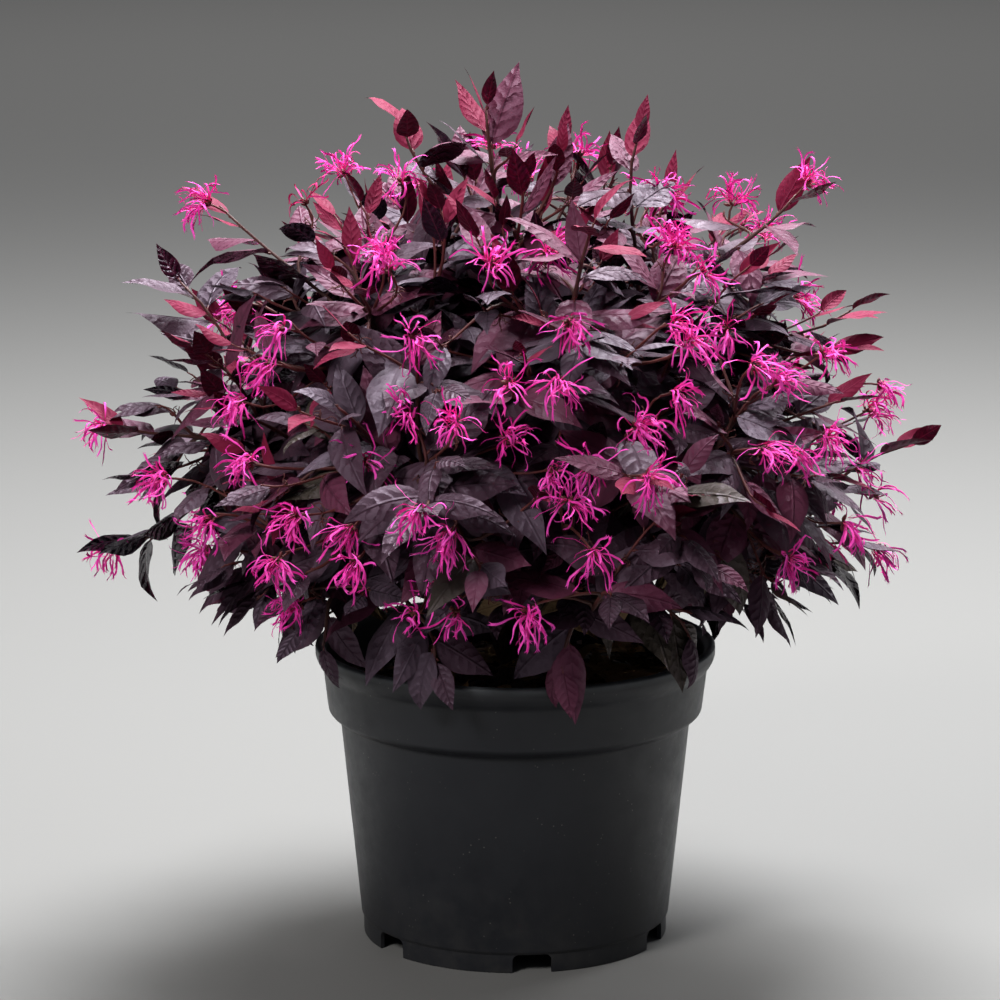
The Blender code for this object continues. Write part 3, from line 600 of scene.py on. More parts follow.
def spiral(count):
    """Evenly spread directions over the crown, from its top down to its lowest shoots."""
    directions = []
    for i in range(count):
        height = 1 - (1 - CROWN_LOWEST)*(i + 0.5)/count
        level = sqrt(1 - height*height)
        directions.append(Vector((level*cos(i*GOLDEN_ANGLE), level*sin(i*GOLDEN_ANGLE), height)))
    return directions


def lift_of(direction):
    """How far a direction is lifted above the level, in degrees."""
    return degrees(asin(max(-1, min(1, direction.z))))


def crown_reach(direction):
    """How far the crown reaches in a direction: it draws in underneath."""
    return CROWN_RADIUS - 0.0026*max(0, 5 - lift_of(direction))


def shoot_way(direction):
    """The way a shoot's tip points: straight out, but hanging where it is low in the crown."""
    hang = max(0, min(0.7, (-lift_of(direction) - 8)/34))
    return (direction*(1 - hang) - UP*hang).normalized()


def anywhere(chance):
    """A small vector that points anywhere."""
    return Vector([chance.uniform(-1, 1) for _ in range(3)])


def stray(direction, chance, much):
    """A direction turned at random, by a little or much."""
    return (direction + anywhere(chance)*much).normalized()


def clear_of_pot(points):
    """Whether all points of a twig or leaf are above the pot's lip or outside it."""
    above, outside = POT_HEIGHT + LIP_CLEARANCE, LIP_RADIUS + LIP_CLEARANCE
    return all(point.z > above or point.xy.length > outside for point in points)


def over_underside(point):
    """A point's height over the crown's underside, which is lower to the left and right."""
    return point.z - CROWN_UNDERSIDE + 0.5*min(0.05, max(0, abs(point.x) - 0.11))


def apart(direction, shoots, angle):
    """Whether a direction is at least an angle away from all of some shoots."""
    return max(direction.dot(shoot[0]) for shoot in shoots) < cos(radians(angle))


def nearest(axis, candidates):
    """The candidates whose mass is the one with this axis."""
    return [s for s in candidates if all(s[0].dot(axis) >= s[0].dot(other) for other in axes.values())]


class Shoot:
    """A twig: its path, its radii, the crown's direction there, its rank and its leaves' colour.

    The ranks are 0 for the stem of a mass, 1 for leading, 2 for first, 3 for fine, 4 for inner shoots.
    """

    def __init__(self, path, radii, outward, rank, colour=None):
        self.path, self.radii = path, radii
        self.outward, self.rank, self.colour = outward, rank, colour
        self.length = sum((b - a).length for a, b in zip(path, path[1:]))

    def at(self, part):
        """Centre and direction at a share of the twig's length."""
        centre, _, way = along_limb(self.path, self.radii, part)
        return centre, way


def arched(start, setting_out, tip, arriving, radii, *traits):
    """A twig that leaves in one direction and arrives in another."""
    span = (tip - start).length
    a, b = start + setting_out*span*0.38, tip - arriving*span*0.34
    path = [start*(1 - t)**3 + a*3*t*(1 - t)**2 + b*3*t*t*(1 - t) + tip*t**3 for t in shares(TWIG_RINGS)]
    return Shoot(path, tapering(*radii, TWIG_RINGS), *traits)


leading = [
    (heading(radians(turn), radians(lift)), reach, colour) for turn, lift, reach, colour in leading_shoots
]
first_shoots = list(leading)
for direction in spiral(FIRST_SHOOTS):
    reach = crown_reach(direction)*growth.uniform(0.93, 1.0)
    tip = CROWN_CENTRE + direction*reach
    if apart(direction, leading, LEADING_GAP) and over_underside(tip) > 0.002:
        first_shoots.append((direction, reach, None))
fine_shoots = []
for direction in spiral(FINE_SHOOTS):
    direction = stray(direction, growth, 0.05)
    reach = crown_reach(direction)*growth.uniform(0.84, 1.02)
    too_low = over_underside(CROWN_CENTRE + direction*reach) < 0.002
    sparse = too_low or lift_of(direction) < -8 and growth.random() < 0.35
    if not sparse and apart(direction, first_shoots, FINE_GAP):
        fine_shoots.append((direction, reach))

stems, shoots = [], []
for axis in axes.values():
    base = CROWN_CENTRE + axis*(CROWN_HOLLOW - 0.004)
    length = STEM_SHARE*(crown_reach(axis) - CROWN_HOLLOW)
    path = [base + axis*length*t + anywhere(growth)*0.0012 for t in shares(TWIG_RINGS)]
    stem = Shoot(path, tapering(*STEM_END_RADII, TWIG_RINGS), axis, 0)
    stems.append(stem)
    carriers = []
    ordered = sorted(nearest(axis, first_shoots), key=lambda shoot: axis.dot(shoot[0]))
    for i, (direction, reach, colour) in enumerate(ordered):
        start, _ = stem.at(0.2 + 0.77*i/max(1, len(ordered) - 1))
        way = stray(shoot_way(direction), growth, 0.10)
        tip = CROWN_CENTRE + direction*reach - way*(TIP_LEAVES - 0.012 if colour else TIP_LEAVES)
        lift = (axis*0.5 + direction*0.6 + UP*0.35*(1 - direction.z)).normalized()
        carriers.append(arched(start, lift, tip, way, SHOOT_RADII, direction, 1 if colour else 2, colour))
    for direction, reach in nearest(axis, fine_shoots):
        carrier = max(carriers, key=lambda shoot: shoot.outward.dot(direction) + growth.uniform(0, 0.01))
        start, carried_way = carrier.at(growth.uniform(0.22, 0.66))
        way = stray(shoot_way(direction) + direction*0.2, growth, 0.24 if direction.z > 0 else 0.50)
        tip = CROWN_CENTRE + direction*reach - way*(TIP_LEAVES - 0.004)
        shoot = arched(start, carried_way, tip, way, FINE_RADII, direction, 3)
        if clear_of_pot(shoot.path):
            shoots.append(shoot)
    for _ in range(INNER_SHOOTS):
        direction = stray(axis, growth, 0.75)
        start, _ = stem.at(growth.uniform(0.0, 0.5))
        tip = CROWN_CENTRE + direction*growth.uniform(0.125, 0.200)
        way = stray(direction, growth, 0.5)
        shoot = arched(start, (axis + direction).normalized(), tip, way, INNER_RADII, direction, 4)
        if min(over_underside(point) for point in shoot.path) > -0.006:
            shoots.append(shoot)
    for point in (point for carrier in carriers for point in carrier.path):
        if not clear_of_pot([point]):
            point.z = POT_HEIGHT + 0.005
    shoots += carriers


blossom_spots = (               # turn and lift in degrees of the clusters on the side that shows best
    (178, 45), (-133, 35), (-142, 29), (-159, 14), (-147, 12), (-137, 16), (-116, 18), (-107, 36),
    (-108, 28), (-99, 26), (-84, 20), (-105, 14), (-131, 3), (-123, 3), (-107, 4), (-96, 6),
    (-90, -3), (-84, 11), (-84, 5), (-66, 26), (-71, 49), (-64, 45), (-42, 54), (-5, 59),
    (-48, 40), (-39, 37), (-6, 43), (-21, 33), (-40, 30), (-46, 25), (-34, 17), (-17, 13),
    (-44, 14), (-71, 15), (-78, 14), (-89, 31), (-79, 29), (-107, 51), (-141, 66), (-79, 62),
    (-30, 4), (-46, 0), (-56, 28), (-176, 15), (-97, 51), (168, 67), (-27, 63), (-43, 50),
    (-129, 58),
)
BLOSSOM_TRIES = 150
LOWEST_BLOSSOM = 0.272
TO_PHOTO = Vector((0, -0.98, 0.2))
flowering = Random(11)
clusters = {}


def flowering_shoot(direction):
    """The shoot that has yet to flower whose tip lies nearest to a direction."""
    tips = {
        n: shoot.path[-1] - CROWN_CENTRE for n, shoot in enumerate(shoots)
        if n not in clusters and shoot.rank < 4 and shoot.path[-1].z > LOWEST_BLOSSOM
        and not (shoot.rank == 1 and shoot.outward.z > 0.8)
    }
    return max(tips, key=lambda n: tips[n].normalized().dot(direction) + 0.25*tips[n].length)


for turn, lift in blossom_spots:
    clusters[flowering_shoot(heading(radians(turn), radians(lift)))] = True
for direction in spiral(BLOSSOM_TRIES):
    photographed = direction.dot(TO_PHOTO) > 0.12
    if photographed and flowering.random() < 0.90 or flowering.random() > 0.80:
        continue
    clusters.setdefault(flowering_shoot(stray(direction, flowering, 0.12)), False)


def tube_skins(limbs, sides, knots=0.0):
    """Corners of many thin tubes, which swell a little at every second ring where they have knots."""
    points = np.zeros((len(limbs), len(limbs[0].path)*sides, 3))
    for n, limb in enumerate(limbs):
        for i, (centre, (across, beside)) in enumerate(zip(limb.path, tube_frames(limb.path))):
            radius = limb.radii[i]*(1 + knots*(i % 2))
            for j in range(sides):
                turn = 2*pi*j/sides
                points[n, i*sides + j] = centre + across*radius*cos(turn) + beside*radius*sin(turn)
    return points


def bark_parts(name, points, sides, along, shades=None, ages=1.0):
    """A piece of many small parts in young bark, with their places on the twig and their shades."""
    places = np.zeros(points.shape)
    places[..., 0] = along
    places[..., 1] = np.linspace(0, 1, len(points))[:, None] if shades is None else shades
    places[..., 2] = ages
    faces = tube_faces(points.shape[1]//sides, sides)
    return many_alike(name, points, faces, young_bark, {"twig_place": places})


def twig_parts(name, limbs, sides):
    """A piece of long twigs or threads, each of its own shade and younger towards its tip."""
    along = np.repeat(shares(TWIG_RINGS), sides)
    shades = np.arange(len(limbs))[:, None]*0.618 % 1
    ages = np.array([[min(1, limb.rank/3)] for limb in limbs])
    return bark_parts(name, tube_skins(limbs, sides, 0.16), sides, along, shades, ages)


def twig_finish():
    """Young bark: grey-brown at the foot of a twig, red-brown and downy towards its tip."""
    skin = Finish("young_bark")
    along, shade, age = skin.marks("twig_place")
    grain = skin.clouds(600, 4)
    young = skin.math("ADD", skin.times(along, age), skin.times(grain, 0.3))
    base = skin.ramp(young, (0.15, 0), (0.75, 1))
    base = skin.blend(base, (0.030, 0.0125, 0.0100), (0.120, 0.0170, 0.0190))
    base = skin.blend(skin.times(shade, 0.22), base, (0.090, 0.040, 0.022))
    return skin.worn(base, 0.6, {"Normal": skin.bump(grain, 0.5, 0.0004)})


young_bark = twig_finish()
twigs = twig_parts("twigs", stems + shoots, TWIG_SIDES)
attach(twigs, "root")
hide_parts(*mass_names)


# Leaves: evergreen, four to six centimetres long, in two ranks along the outer part of each
# twig. They are pointed, folded a little along the sunken midrib and puckered between the
# veins. Old ones are near black purple, young ones plum, the newest crimson. Some of the old
# ones are a lighter slate grey, which is painted sheen of the light, most often on top.

LEAF_LENGTH = 0.058
STALK_LENGTH = 0.0035
LEAVES_OF_RANK = {1: 12, 2: 10, 3: 6, 4: 7}
BLADE_ROWS = (0.0, 0.045, 0.13, 0.25, 0.39, 0.54, 0.69, 0.83, 0.94, 1.0)
BLADE_WIDTHS = (0.05, 0.36, 0.70, 0.94, 1.0, 0.89, 0.64, 0.32, 0.10, 0.0)
BLADE_ACROSS = (-1.0, -0.5, 0.0, 0.5, 1.0)
BLADE_TIP = (len(BLADE_ROWS) - 1)*5
leaf_looks = {      # upper side, its paler parts and painted highlights, underside, veins and painted rim highlight, roughness, relief, gloss
    "aubergine": (
        (0.0036, 0.0013, 0.0031), (0.0175, 0.0042, 0.0112), (0.055, 0.025, 0.040), (0.085, 0.036, 0.056),
        0.21, 0.8, 0.46,
    ),
    # slate: a greyer, lighter copy of the near-black leaf colour; the difference is painted sheen of the
    # light
    "slate": (
        (0.0056, 0.0042, 0.0082), (0.020, 0.0148, 0.027), (0.060, 0.038, 0.055), (0.105, 0.076, 0.11),
        0.20, 0.8, 0.46,
    ),
    "plum": (
        (0.018, 0.0024, 0.0088), (0.060, 0.0060, 0.024), (0.12, 0.026, 0.056), (0.15, 0.030, 0.062),
        0.23, 0.7, 0.40,
    ),
    # crimson: the underside colour is partly the leaf's own paler red and partly painted light shining
    # through it
    "crimson": (
        (0.072, 0.0010, 0.0130), (0.145, 0.0026, 0.026), (0.20, 0.008, 0.040), (0.21, 0.015, 0.046),
        0.38, 0.4, 0.28,
    ),
    "green_black": (
        (0.0080, 0.0080, 0.0070), (0.032, 0.0305, 0.0245), (0.055, 0.045, 0.032), (0.085, 0.070, 0.042),
        0.21, 0.8, 0.46,
    ),
}


def strip_faces(rows, across):
    """Faces of an open strip with so many corners along it and across it."""
    return [
        (i*across + j, i*across + j + 1, (i + 1)*across + j + 1, (i + 1)*across + j)
        for i in range(rows - 1) for j in range(across - 1)
    ]


class Leaves:
    """The leaves of one colour: where each stands, how it lies and how it is bent."""

    def __init__(self):
        self.rows = []

    def add(self, root, along, above, length, width, fold, curl, twist, wave, shade):
        """Takes one leaf on, squared up to its own directions."""
        left = above.cross(along).normalized()
        above = along.cross(left).normalized()
        self.rows.append((*root, *along, *above, *left, length, width, fold, curl, twist, wave, shade))

    def piece(self, name, finish):
        """The piece of all the blades, which marks for each corner where it lies on its blade."""
        table = np.array(self.rows)
        root, along, above, left = (table[:, None, i:i + 3] for i in (0, 3, 6, 9))
        length, width, fold, curl, twist, wave, shade = (table[:, i, None] for i in range(12, 19))
        rows, widths = (np.repeat(each, 5)[:BLADE_TIP + 1] for each in (BLADE_ROWS, BLADE_WIDTHS))
        across = np.append(np.tile(BLADE_ACROSS, len(BLADE_ROWS) - 1), 0)
        bend = curl*rows**1.25
        run = length*(rows*np.sinc(bend/2/pi))*np.cos(bend/2)
        fall = length*(rows*np.sinc(bend/2/pi))*np.sin(bend/2)
        bend, turn = bend[..., None], (twist*rows)[..., None]
        upward = above*np.cos(bend) + along*np.sin(bend)
        sideways = left*np.cos(turn) + upward*np.sin(turn)
        upward = upward*np.cos(turn) - left*np.sin(turn)
        half = width/2*widths*across
        ripple = 0.05*width*np.abs(across)*np.sin(8.5*rows + wave*6.28)*widths
        rise = np.abs(half)*np.tan(fold) - (0.4 + 1.3*wave)*half**2/width + ripple
        middle = root + along*run[..., None] - above*fall[..., None]
        points = middle + sideways*half[..., None] + upward*rise[..., None]
        places = np.stack(np.broadcast_arrays(across*widths, rows, shade), axis=-1)
        faces = strip_faces(len(BLADE_ROWS) - 1, 5)
        faces += [(BLADE_TIP - 5 + j, BLADE_TIP - 4 + j, BLADE_TIP) for j in range(4)]
        return many_alike(name, points, faces, finish, {"blade_place": places})


def leaf_finish(name, upper, pale, under, veins_and_lit_rim, roughness, relief, gloss):
    """A leaf's satin skin: sunken midrib and side veins darkened with painted shade, puckering with painted
    highlights between the veins, a painted highlight along the rim, a paler underside.
    """
    skin = Finish(name)
    across, along, shade = skin.marks("blade_place")
    away = skin.math("ABSOLUTE", across)
    slant = skin.times(skin.math("POWER", away, 1.25), 1.5)
    slant = skin.math("ADD", slant, skin.clouds(130, 2))
    ribs = skin.math("SUBTRACT", skin.times(along, 6.6), slant)
    ribs = skin.math("PINGPONG", ribs, 0.5)
    side_vein_shade = skin.ramp(ribs, (0.0, 1), (0.18, 0))
    midrib = skin.ramp(away, (0.0, 1), (0.09, 0))
    cloud = skin.clouds(75, 4)
    # Painted highlight: the pillows between the side veins are painted paler, on top of each leaf's own tone
    # and its random clouding.
    lit_pillows_and_tone = skin.math("MULTIPLY_ADD", skin.ramp(ribs, (0.08, 0), (0.42, 1)), relief*0.55, shade)
    tone_and_highlights = skin.math("MULTIPLY_ADD", cloud, 1.8, lit_pillows_and_tone)
    base = skin.blend(skin.math("SUBTRACT", tone_and_highlights, 1.15, clamp=True), upper, pale)
    mottle = skin.ramp(skin.clouds(380, 4), (0.38, 0.75), (0.60, 0))
    base = skin.blend(mottle, base, tuple(part*0.3 for part in upper))
    # Painted shade: the side veins are darkened as if shade lay in their sunken grooves.
    base = skin.blend(skin.times(side_vein_shade, 0.8), base, tuple(part*0.4 for part in upper))
    base = skin.blend(skin.times(midrib, 0.55), base, veins_and_lit_rim)
    dust = skin.ramp(skin.cells(480), (0.10, 1), (0.20, 0))
    dust = skin.times(dust, skin.ramp(cloud, (0.50, 0), (0.62, 0.5)))
    base = skin.blend(dust, base, (0.16, 0.13, 0.15))
    # Painted highlight: a thin pale rim along the leaf's margin, as if its edge caught the light.
    base = skin.blend(skin.ramp(away, (0.88, 0), (0.97, 0.8)), base, veins_and_lit_rim)
    back = skin.add("NewGeometry", result="Backfacing")
    satin = skin.carried(cloud, 0.3, 0.7, roughness - 0.10, roughness + 0.12)
    pucker = skin.math("SINE", skin.times(ribs, pi))
    pucker = skin.times(pucker, skin.ramp(away, (0.1, 0.85), (0.95, 0.15)))
    height = skin.math("ADD", pucker, skin.times(skin.clouds(260, 2), 0.9))
    height = skin.math("SUBTRACT", height, midrib)
    deep = skin.carried(shade, 0, 1, relief*0.5, relief*1.4)
    fine = skin.bump(skin.clouds(1400, 2), 0.12, 0.0002)
    return skin.worn(skin.blend(back, base, under), skin.math("ADD", satin, skin.times(back, 0.35)), {
        "Specular IOR Level": gloss,
        "Specular Tint": (0.96, 0.76, 1.0),
        "Normal": skin.bump(height, deep, 0.0015, Normal=fine),
    })


leaves = {colour: Leaves() for colour in leaf_looks}
stalks, buds = [], []
dealing = Random(7)


def spray_colours(shoot):
    """Chances of each colour on a shoot: plum and the painted sheen of grey leaves towards the top,
    green-black low on the right.
    """
    direction = shoot.outward
    chances = {"aubergine": 0.62, "slate": 0.18, "plum": 0.19, "green_black": 0.01}
    if direction.z > 0.45:
        # more of the slate leaves, painted sheen, where the light falls on the top of the crown
        chances["slate"] += 0.12
        chances["plum"] += 0.19
    if direction.z < 0.05 and direction.x > 0.2:
        chances["green_black"] += 0.14
    return list(chances), list(chances.values())


for number, shoot in enumerate(shoots):
    chances = spray_colours(shoot)
    main = dealing.choices(*chances)[0]
    main = shoot.colour or main
    leads = shoot.rank == 1
    outward = shoot.outward
    newness = min(1, max(0.12*(outward.z > -0.2), 0.1 + 1.4*outward.z))*(shoot.rank < 4)
    new_growth = dealing.random() < (0.9 if leads else 0.62)*newness
    shade_of_shoot = dealing.uniform(0.0, 0.75)
    roll = dealing.uniform(-0.7, 0.7)
    spacing = dealing.uniform(0.0125, 0.0175)*(0.78 if leads else 1)
    first = min(2, shoot.rank) if number in clusters else 0
    for i in range(first, LEAVES_OF_RANK[shoot.rank]):
        part = 1 - (0.001 + spacing*i*(0.75 + 0.04*i))/shoot.length
        if part < 0.05:
            break
        root, way = shoot.at(part)
        facing = stray(UP*0.62 + outward*0.62, dealing, 0.34)
        beside = way.cross(facing).normalized()
        beside = (beside*cos(roll) + facing*sin(roll)*0.6).normalized()*(-1)**(i + number)
        opening = radians(min(74, 16 + 11*i) + dealing.uniform(-9, 9))
        along = way*cos(opening) + beside*sin(opening)
        young = new_growth and i < 3
        droop = dealing.uniform(-0.1, 0.12) if young else dealing.uniform(-0.06, 0.30)
        along = stray(along - UP*droop, dealing, 0.10)
        length = LEAF_LENGTH*(min(1, (0.50 if young else 0.60) + 0.13*i)*dealing.uniform(0.84, 1.14))
        width = length*dealing.uniform(0.39, 0.53)*(0.84 if young else 1)
        stalk_end = root + along*STALK_LENGTH
        crowding = noise.noise(root*16) + (0.15 if outward.z > -0.35 else -0.15)
        if i > 1 and shoot.rank in (2, 3) and crowding < 0.09 and dealing.random() < 0.88:
            continue
        curl = dealing.uniform(-0.2, 0.5) if young else dealing.uniform(0.0, 1.2)
        blade = [stalk_end + (along*t - UP*curl*t*t*0.5)*length for t in (0, 0.3, 0.6, 0.85, 1)]
        if not clear_of_pot(blade):
            continue
        if not leads and over_underside(blade[-1]) < -dealing.uniform(0, 0.018):
            continue
        other = dealing.choices(*chances)[0]
        colour = other if dealing.random() < 0.30 else main
        if young or main == "crimson":
            third = "crimson" if leads else "plum"
            colour = ("crimson", "crimson", third, "plum", "aubergine", other)[min(i, 5)]
        leaves[colour].add(
            stalk_end, along, facing, length, width,
            radians(dealing.uniform(16, 36) if young else dealing.uniform(6, 28)),
            curl, dealing.uniform(-0.5, 0.5), dealing.random(),
            min(1, max(0, shade_of_shoot + dealing.uniform(-0.25, 0.25))),
        )
        stalks.append((root, stalk_end + along*length*0.03))
        if dealing.random() < 0.45:
            bud_way = (way*0.7 + beside*0.5).normalized()
            buds.append((root + beside*0.001, bud_way, dealing.uniform(0.0014, 0.0026)))

for colour, kept in leaves.items():
    piece = kept.piece(f"{colour}_leaves", leaf_finish(f"leaf_{colour}", *leaf_looks[colour]))
    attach(piece, "root")
    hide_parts(*mass_names)


# Leaf stalks, buds and spent flowers: each leaf hangs on a short downy stalk, small rusty
# buds sit beside many of them, and the dried threads of last season's flowers still cling
# to the older twigs.

STALK_RADII = (0.00065, 0.00055, 0.0005)
STALK_SIDES = 4
THREAD_RADII = (0.00050, 0.00030)
THREAD_SIDES = 3
CUP_RINGS = ((0.0, 0.35), (0.35, 0.85), (0.7, 0.75), (1.0, 0.25))
CUP_SIDES = 5


def cup(root, way, size, tall):
    """Corners of one bud or bract: an egg of four rings that points one way."""
    across = way.orthogonal().normalized()
    beside = way.cross(across)
    corners = []
    for height, wide in CUP_RINGS:
        for j in range(CUP_SIDES):
            turn = 2*pi*j/CUP_SIDES
            corners.append(root + way*size*tall*height + (across*cos(turn) + beside*sin(turn))*size*0.5*wide)
    return corners


stalk_limbs = [Shoot([a.lerp(b, t) for t in shares(3)], STALK_RADII, b - a, 3) for a, b in stalks]
stalk_piece = bark_parts("leaf_stalks", tube_skins(stalk_limbs, STALK_SIDES), STALK_SIDES, 0.9)
bud_piece = bark_parts("leaf_buds", np.array([cup(*bud, 1.5) for bud in buds]), CUP_SIDES, 1.0)
threads = []
withering = Random(23)
for shoot in shoots:
    if shoot.rank == 3 and withering.random() < 0.75:
        root, way = shoot.at(withering.uniform(0.45, 0.9))
        for _ in range(withering.randint(4, 9)):
            path, onward = [root], stray(way, withering, 1.6)
            for _ in range(TWIG_RINGS - 1):
                onward = (onward + anywhere(withering)*0.75 - UP*0.08).normalized()
                path.append(path[-1] + onward*withering.uniform(0.0008, 0.0021))
            threads.append(Shoot(path, tapering(*THREAD_RADII, TWIG_RINGS), way, 3))
thread_piece = twig_parts("spent_flower_threads", threads, THREAD_SIDES)
for piece in (stalk_piece, bud_piece, thread_piece):
    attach(piece, "root")
    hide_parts(*mass_names)


# Blossom: clusters of three to ten flowers, each of four long crimped strap petals in hot
# magenta, hang or fan out from short spurs near the tips of the shoots, round a tuft of
# rusty bracts. A few older or half-open clusters are crimson, their straps still curled.

PETAL_STEPS = 10
bloom = Random(12)
SPUR_RADII = (0.0009, 0.0008, 0.0008)
SPUR_SIDES = 5


def petal_skin(root, way, length, width, droop, chance, crimp):
    """Corners of one strap petal with its cleft, hooked tip, three to each step, and their places."""
    step = length/(PETAL_STEPS - 1)
    at, onward = root.copy(), way.copy()
    sway = anywhere(chance)*crimp
    side = way.cross(UP + anywhere(chance)*0.8).normalized()
    corners, places = [], []
    shade = chance.random()
    for i, t in enumerate(shares(PETAL_STEPS)):
        side = (side - onward*side.dot(onward)).normalized()
        over = onward.cross(side)
        last = i == PETAL_STEPS - 1
        wide = width*(0.55 + 0.50*min(1, t*2.5) + 0.35*max(0, t - 0.72))*(1.25 if last else 1)
        dish = over*wide*0.22
        cleft = onward*step*0.85 if last else Vector()
        corners += [at - side*wide/2 + dish, at - cleft, at + side*wide/2 + dish]
        places += [(-1, t, shade), (0, t, shade), (1, t, shade)]
        sway = sway*0.55 + anywhere(chance)*crimp*(1.7 if t > 0.7 else 0.8)
        onward = (onward + sway*0.42 - UP*droop*(0.06 + 0.20*t)).normalized()
        side = (side + over*chance.uniform(-0.45, 0.45)).normalized()
        at = at + onward*step
    return corners, places


def petal_finish(name, deep, bright, throat):
    """A thin silky strap: bright magenta, deeper towards its foot, with a faint lengthwise grain and a
    painted highlight along its edges.
    """
    skin = Finish(name)
    across, along, shade = skin.marks("petal_place")
    base = skin.blend(skin.ramp(along, (0.0, 0.9), (0.28, 0)), skin.blend(shade, deep, bright), throat)
    # Painted highlight: the petal's edges are lightened towards pale pink, as if they caught the light.
    edge = skin.times(skin.math("ABSOLUTE", across), 0.07)
    return skin.worn(skin.blend(edge, base, (1.0, 0.22, 0.62)), 0.6, {
        "Specular IOR Level": 0.25,
        "Subsurface Weight": 0.25,
        "Subsurface Radius": (0.004, 0.001, 0.002),
        "Subsurface Scale": 0.5,
        "Normal": skin.bump(skin.clouds(900, 2), 0.2, 0.0003),
    })


petals = {"magenta": [], "crimson": []}
bracts, spurs = [], []
for n, placed in clusters.items():
    shoot = shoots[n]
    root, way = shoot.at(1 - bloom.uniform(0.002, 0.012)/shoot.length)
    outward = (root - CROWN_CENTRE).normalized()
    facing = stray(outward*0.9 + way*0.2 - UP*bloom.uniform(-0.15, 0.45), bloom, 0.25)
    path = [root, root + facing*0.006 + way*0.003, root + facing*0.012 + way*0.003]
    spurs.append(Shoot(path, SPUR_RADII, facing, 3))
    root = path[-1]
    full = placed or bloom.random() < 0.75
    colour = "magenta" if full or bloom.random() < 0.5 else "crimson"
    sweep = (anywhere(bloom)*0.5 - UP*0.25)*bloom.uniform(0.2, 1.0)
    for _ in range(bloom.randint(22, 42) if full else bloom.randint(10, 16)):
        spread = radians(bloom.triangular(3, 88, 26))
        around = facing.orthogonal().normalized()
        turn = bloom.uniform(0, 2*pi)
        beside = around*cos(turn) + facing.cross(around)*sin(turn)
        petal_way = (facing*cos(spread) + beside*sin(spread) + sweep).normalized()
        foot = root + beside*bloom.uniform(0.0008, 0.0045) + facing*bloom.uniform(-0.002, 0.003)
        petals[colour].append(petal_skin(
            foot, petal_way, length=bloom.triangular(0.013, 0.032, 0.023),
            width=bloom.uniform(0.00095, 0.0017), droop=bloom.uniform(0.3, 1.9),
            chance=bloom, crimp=bloom.uniform(0.45, 1.25),
        ))
    for _ in range(bloom.randint(6, 9)):
        way_out = stray(facing*0.8, bloom, 1)
        at = root + way_out*0.001 - facing*0.002
        bracts.append(cup(at, way_out, bloom.uniform(0.0022, 0.0034), 1.6))

petal_looks = {                 # the deepest and the brightest petals, and the foot of each
    "magenta": ((0.80, 0.010, 0.33), (1.0, 0.085, 0.58), (0.58, 0.005, 0.085)),
    "crimson": ((0.52, 0.010, 0.12), (0.86, 0.030, 0.28), (0.30, 0.006, 0.05)),
}
for colour, looks in petal_looks.items():
    corners, places = (np.array(each) for each in zip(*petals[colour]))
    finish = petal_finish(f"petal_{colour}", *looks)
    faces = strip_faces(PETAL_STEPS, 3)
    piece = many_alike(f"{colour}_petals", corners, faces, finish, {"petal_place": places})
    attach(piece, "root")
    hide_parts(*mass_names)
spur_piece = bark_parts("blossom_spurs", tube_skins(spurs, SPUR_SIDES), SPUR_SIDES, 0.9)
bract_piece = bark_parts("blossom_bracts", np.array(bracts), CUP_SIDES, 1.0)
for piece in (spur_piece, bract_piece):
    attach(piece, "root")
    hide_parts(*mass_names)


# Fallen leaves: dead leaves, olive to yellow-brown and curled, lie loosely on the soil
# inside the rim, and some are still caught in the lowest twigs above it.

FALLEN_LEAVES = 70
FALLEN_EDGE = 0.124             # a fallen leaf that would reach further out is turned inwards
CAUGHT_BELOW = 0.285            # dead leaves are caught in twigs below this height
CAUGHT_WITHIN = 0.155           # and nearer to the middle than this
fallen, caught = Leaves(), Leaves()
autumn = Random(5)


def withered(leaves, root, along, above, length, slimness, most_fold):
    """Adds a dead leaf, curled and twisted at random, to some leaves."""
    leaves.add(
        root, along, above, length, length*slimness, radians(autumn.uniform(5, most_fold)),
        autumn.uniform(-0.9, 0.9), autumn.uniform(-0.8, 0.8), autumn.random(), autumn.random(),
    )


for _ in range(FALLEN_LEAVES):
    turn, reach = autumn.uniform(0, 2*pi), autumn.uniform(0.045, 0.112)
    root = Vector((reach*cos(turn), reach*sin(turn), SOIL_TOP + 0.004 + 0.018*autumn.random()**2))
    lie = autumn.uniform(0, 2*pi)
    along = Vector((cos(lie), sin(lie), autumn.uniform(-0.1, 0.25))).normalized()
    if (root + along*0.04).xy.length > FALLEN_EDGE:
        along = Vector((-root.x, -root.y, 0.02)).normalized()
    length = autumn.uniform(0.028, 0.042)
    withered(fallen, root, along, stray(UP, autumn, 0.4), length, 0.46, 35)
for shoot in 3*(stems + shoots):
    root, way = shoot.at(autumn.uniform(0.05, 0.95))
    hanging = (anywhere(autumn)*0.8 - UP*autumn.uniform(0.1, 0.9)).normalized()
    length = autumn.uniform(0.026, 0.044)
    tip = root + hanging*length
    above_soil = POT_HEIGHT - 0.012 < tip.z < CROWN_UNDERSIDE and tip.xy.length < 0.132
    if above_soil and root.z < CAUGHT_BELOW and root.xy.length < CAUGHT_WITHIN:
        withered(caught, root, hanging, stray(way, autumn, 1), length, 0.42, 40)
dead_leaf = leaf_finish(
    "leaf_dead", (0.20, 0.115, 0.038), (0.60, 0.38, 0.12), (0.30, 0.18, 0.07), (0.46, 0.31, 0.13),
    0.7, 0.6, 0.30,
)
fallen_piece = fallen.piece("fallen_leaves", dead_leaf)
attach(fallen_piece, "root")
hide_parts("potting_soil")
withered_leaf = leaf_finish(
    "leaf_withered", (0.10, 0.060, 0.026), (0.30, 0.205, 0.085), (0.17, 0.11, 0.055), (0.26, 0.18, 0.09),
    0.7, 0.6, 0.30,
)
caught_piece = caught.piece("caught_leaves", withered_leaf)
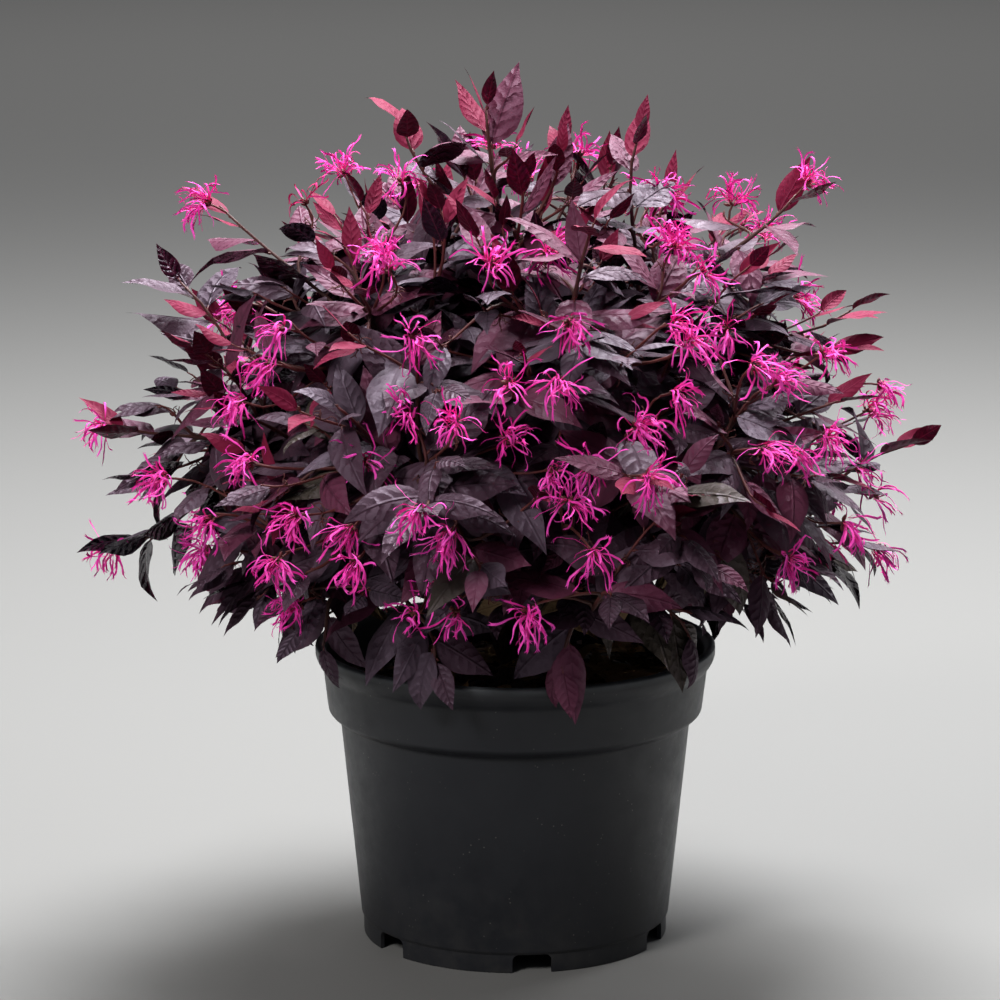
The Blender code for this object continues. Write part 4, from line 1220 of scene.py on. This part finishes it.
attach(caught_piece, "root")
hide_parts(*mass_names)


# Floor, light and camera: a pale seamless floor, a broad soft light overhead and a weaker
# one from the left, and the camera at the height and distance from which the plant was
# photographed.

floor_mesh = bpy.data.meshes.new("studio_floor")
floor_mesh.from_pydata([(-9, -6, 0), (9, -6, 0), (9, 14, 0), (-9, 14, 0)], [], [(0, 1, 2, 3)])
floor_finish = Finish("studio_floor").worn((0.185, 0.182, 0.176), 0.8)
floor = new_piece("studio_floor", floor_mesh, floor_finish)


def soft_light(name, place, aim, size, power, colour):
    """A square area light turned to a point."""
    lamp = bpy.data.lights.new(name, "AREA")
    lamp.shape = "SQUARE"
    lamp.size = size
    lamp.energy = power
    lamp.color = colour
    holder = bpy.data.objects.new(name, lamp)
    holder.location = place
    holder.rotation_euler = (Vector(aim) - Vector(place)).to_track_quat("-Z", "Y").to_euler()
    bpy.context.scene.collection.objects.link(holder)


soft_light("overhead_light", (0.2, 1.0, 2.8), (0, 0, 0.3), 1.6, 258, (0.97, 0.985, 1.0))
soft_light("left_light", (-1.5, -2.0, 2.1), (0, 0, 0.35), 0.7, 52, (1.0, 0.99, 0.97))
soft_light("backdrop_light", (0, 7.5, 4.5), (0, 8.5, 0), 6, 200, (1.0, 1.0, 1.0))
soft_light("right_rear_light", (1.8, 1.6, 1.9), (0, 0, 0.35), 1.0, 30, (0.97, 0.98, 1.0))

sky = bpy.data.worlds.new("studio_sky")
sky.use_nodes = True
sky_light = sky.node_tree.nodes["Background"].inputs
sky_light["Color"].default_value = (0.86, 0.91, 1.0, 1)
sky_light["Strength"].default_value = 0.09
bpy.context.scene.world = sky
bpy.context.scene.view_settings.view_transform = "Standard"

lens = bpy.data.cameras.new("photo_camera")
lens.lens = 143.7
lens.sensor_width = 36
camera = bpy.data.objects.new("photo_camera", lens)
camera.location = (0, -2.722, 0.861)
camera.rotation_euler = (radians(90 - 11.46), 0, radians(0.225))
bpy.context.scene.collection.objects.link(camera)
bpy.context.scene.camera = camera
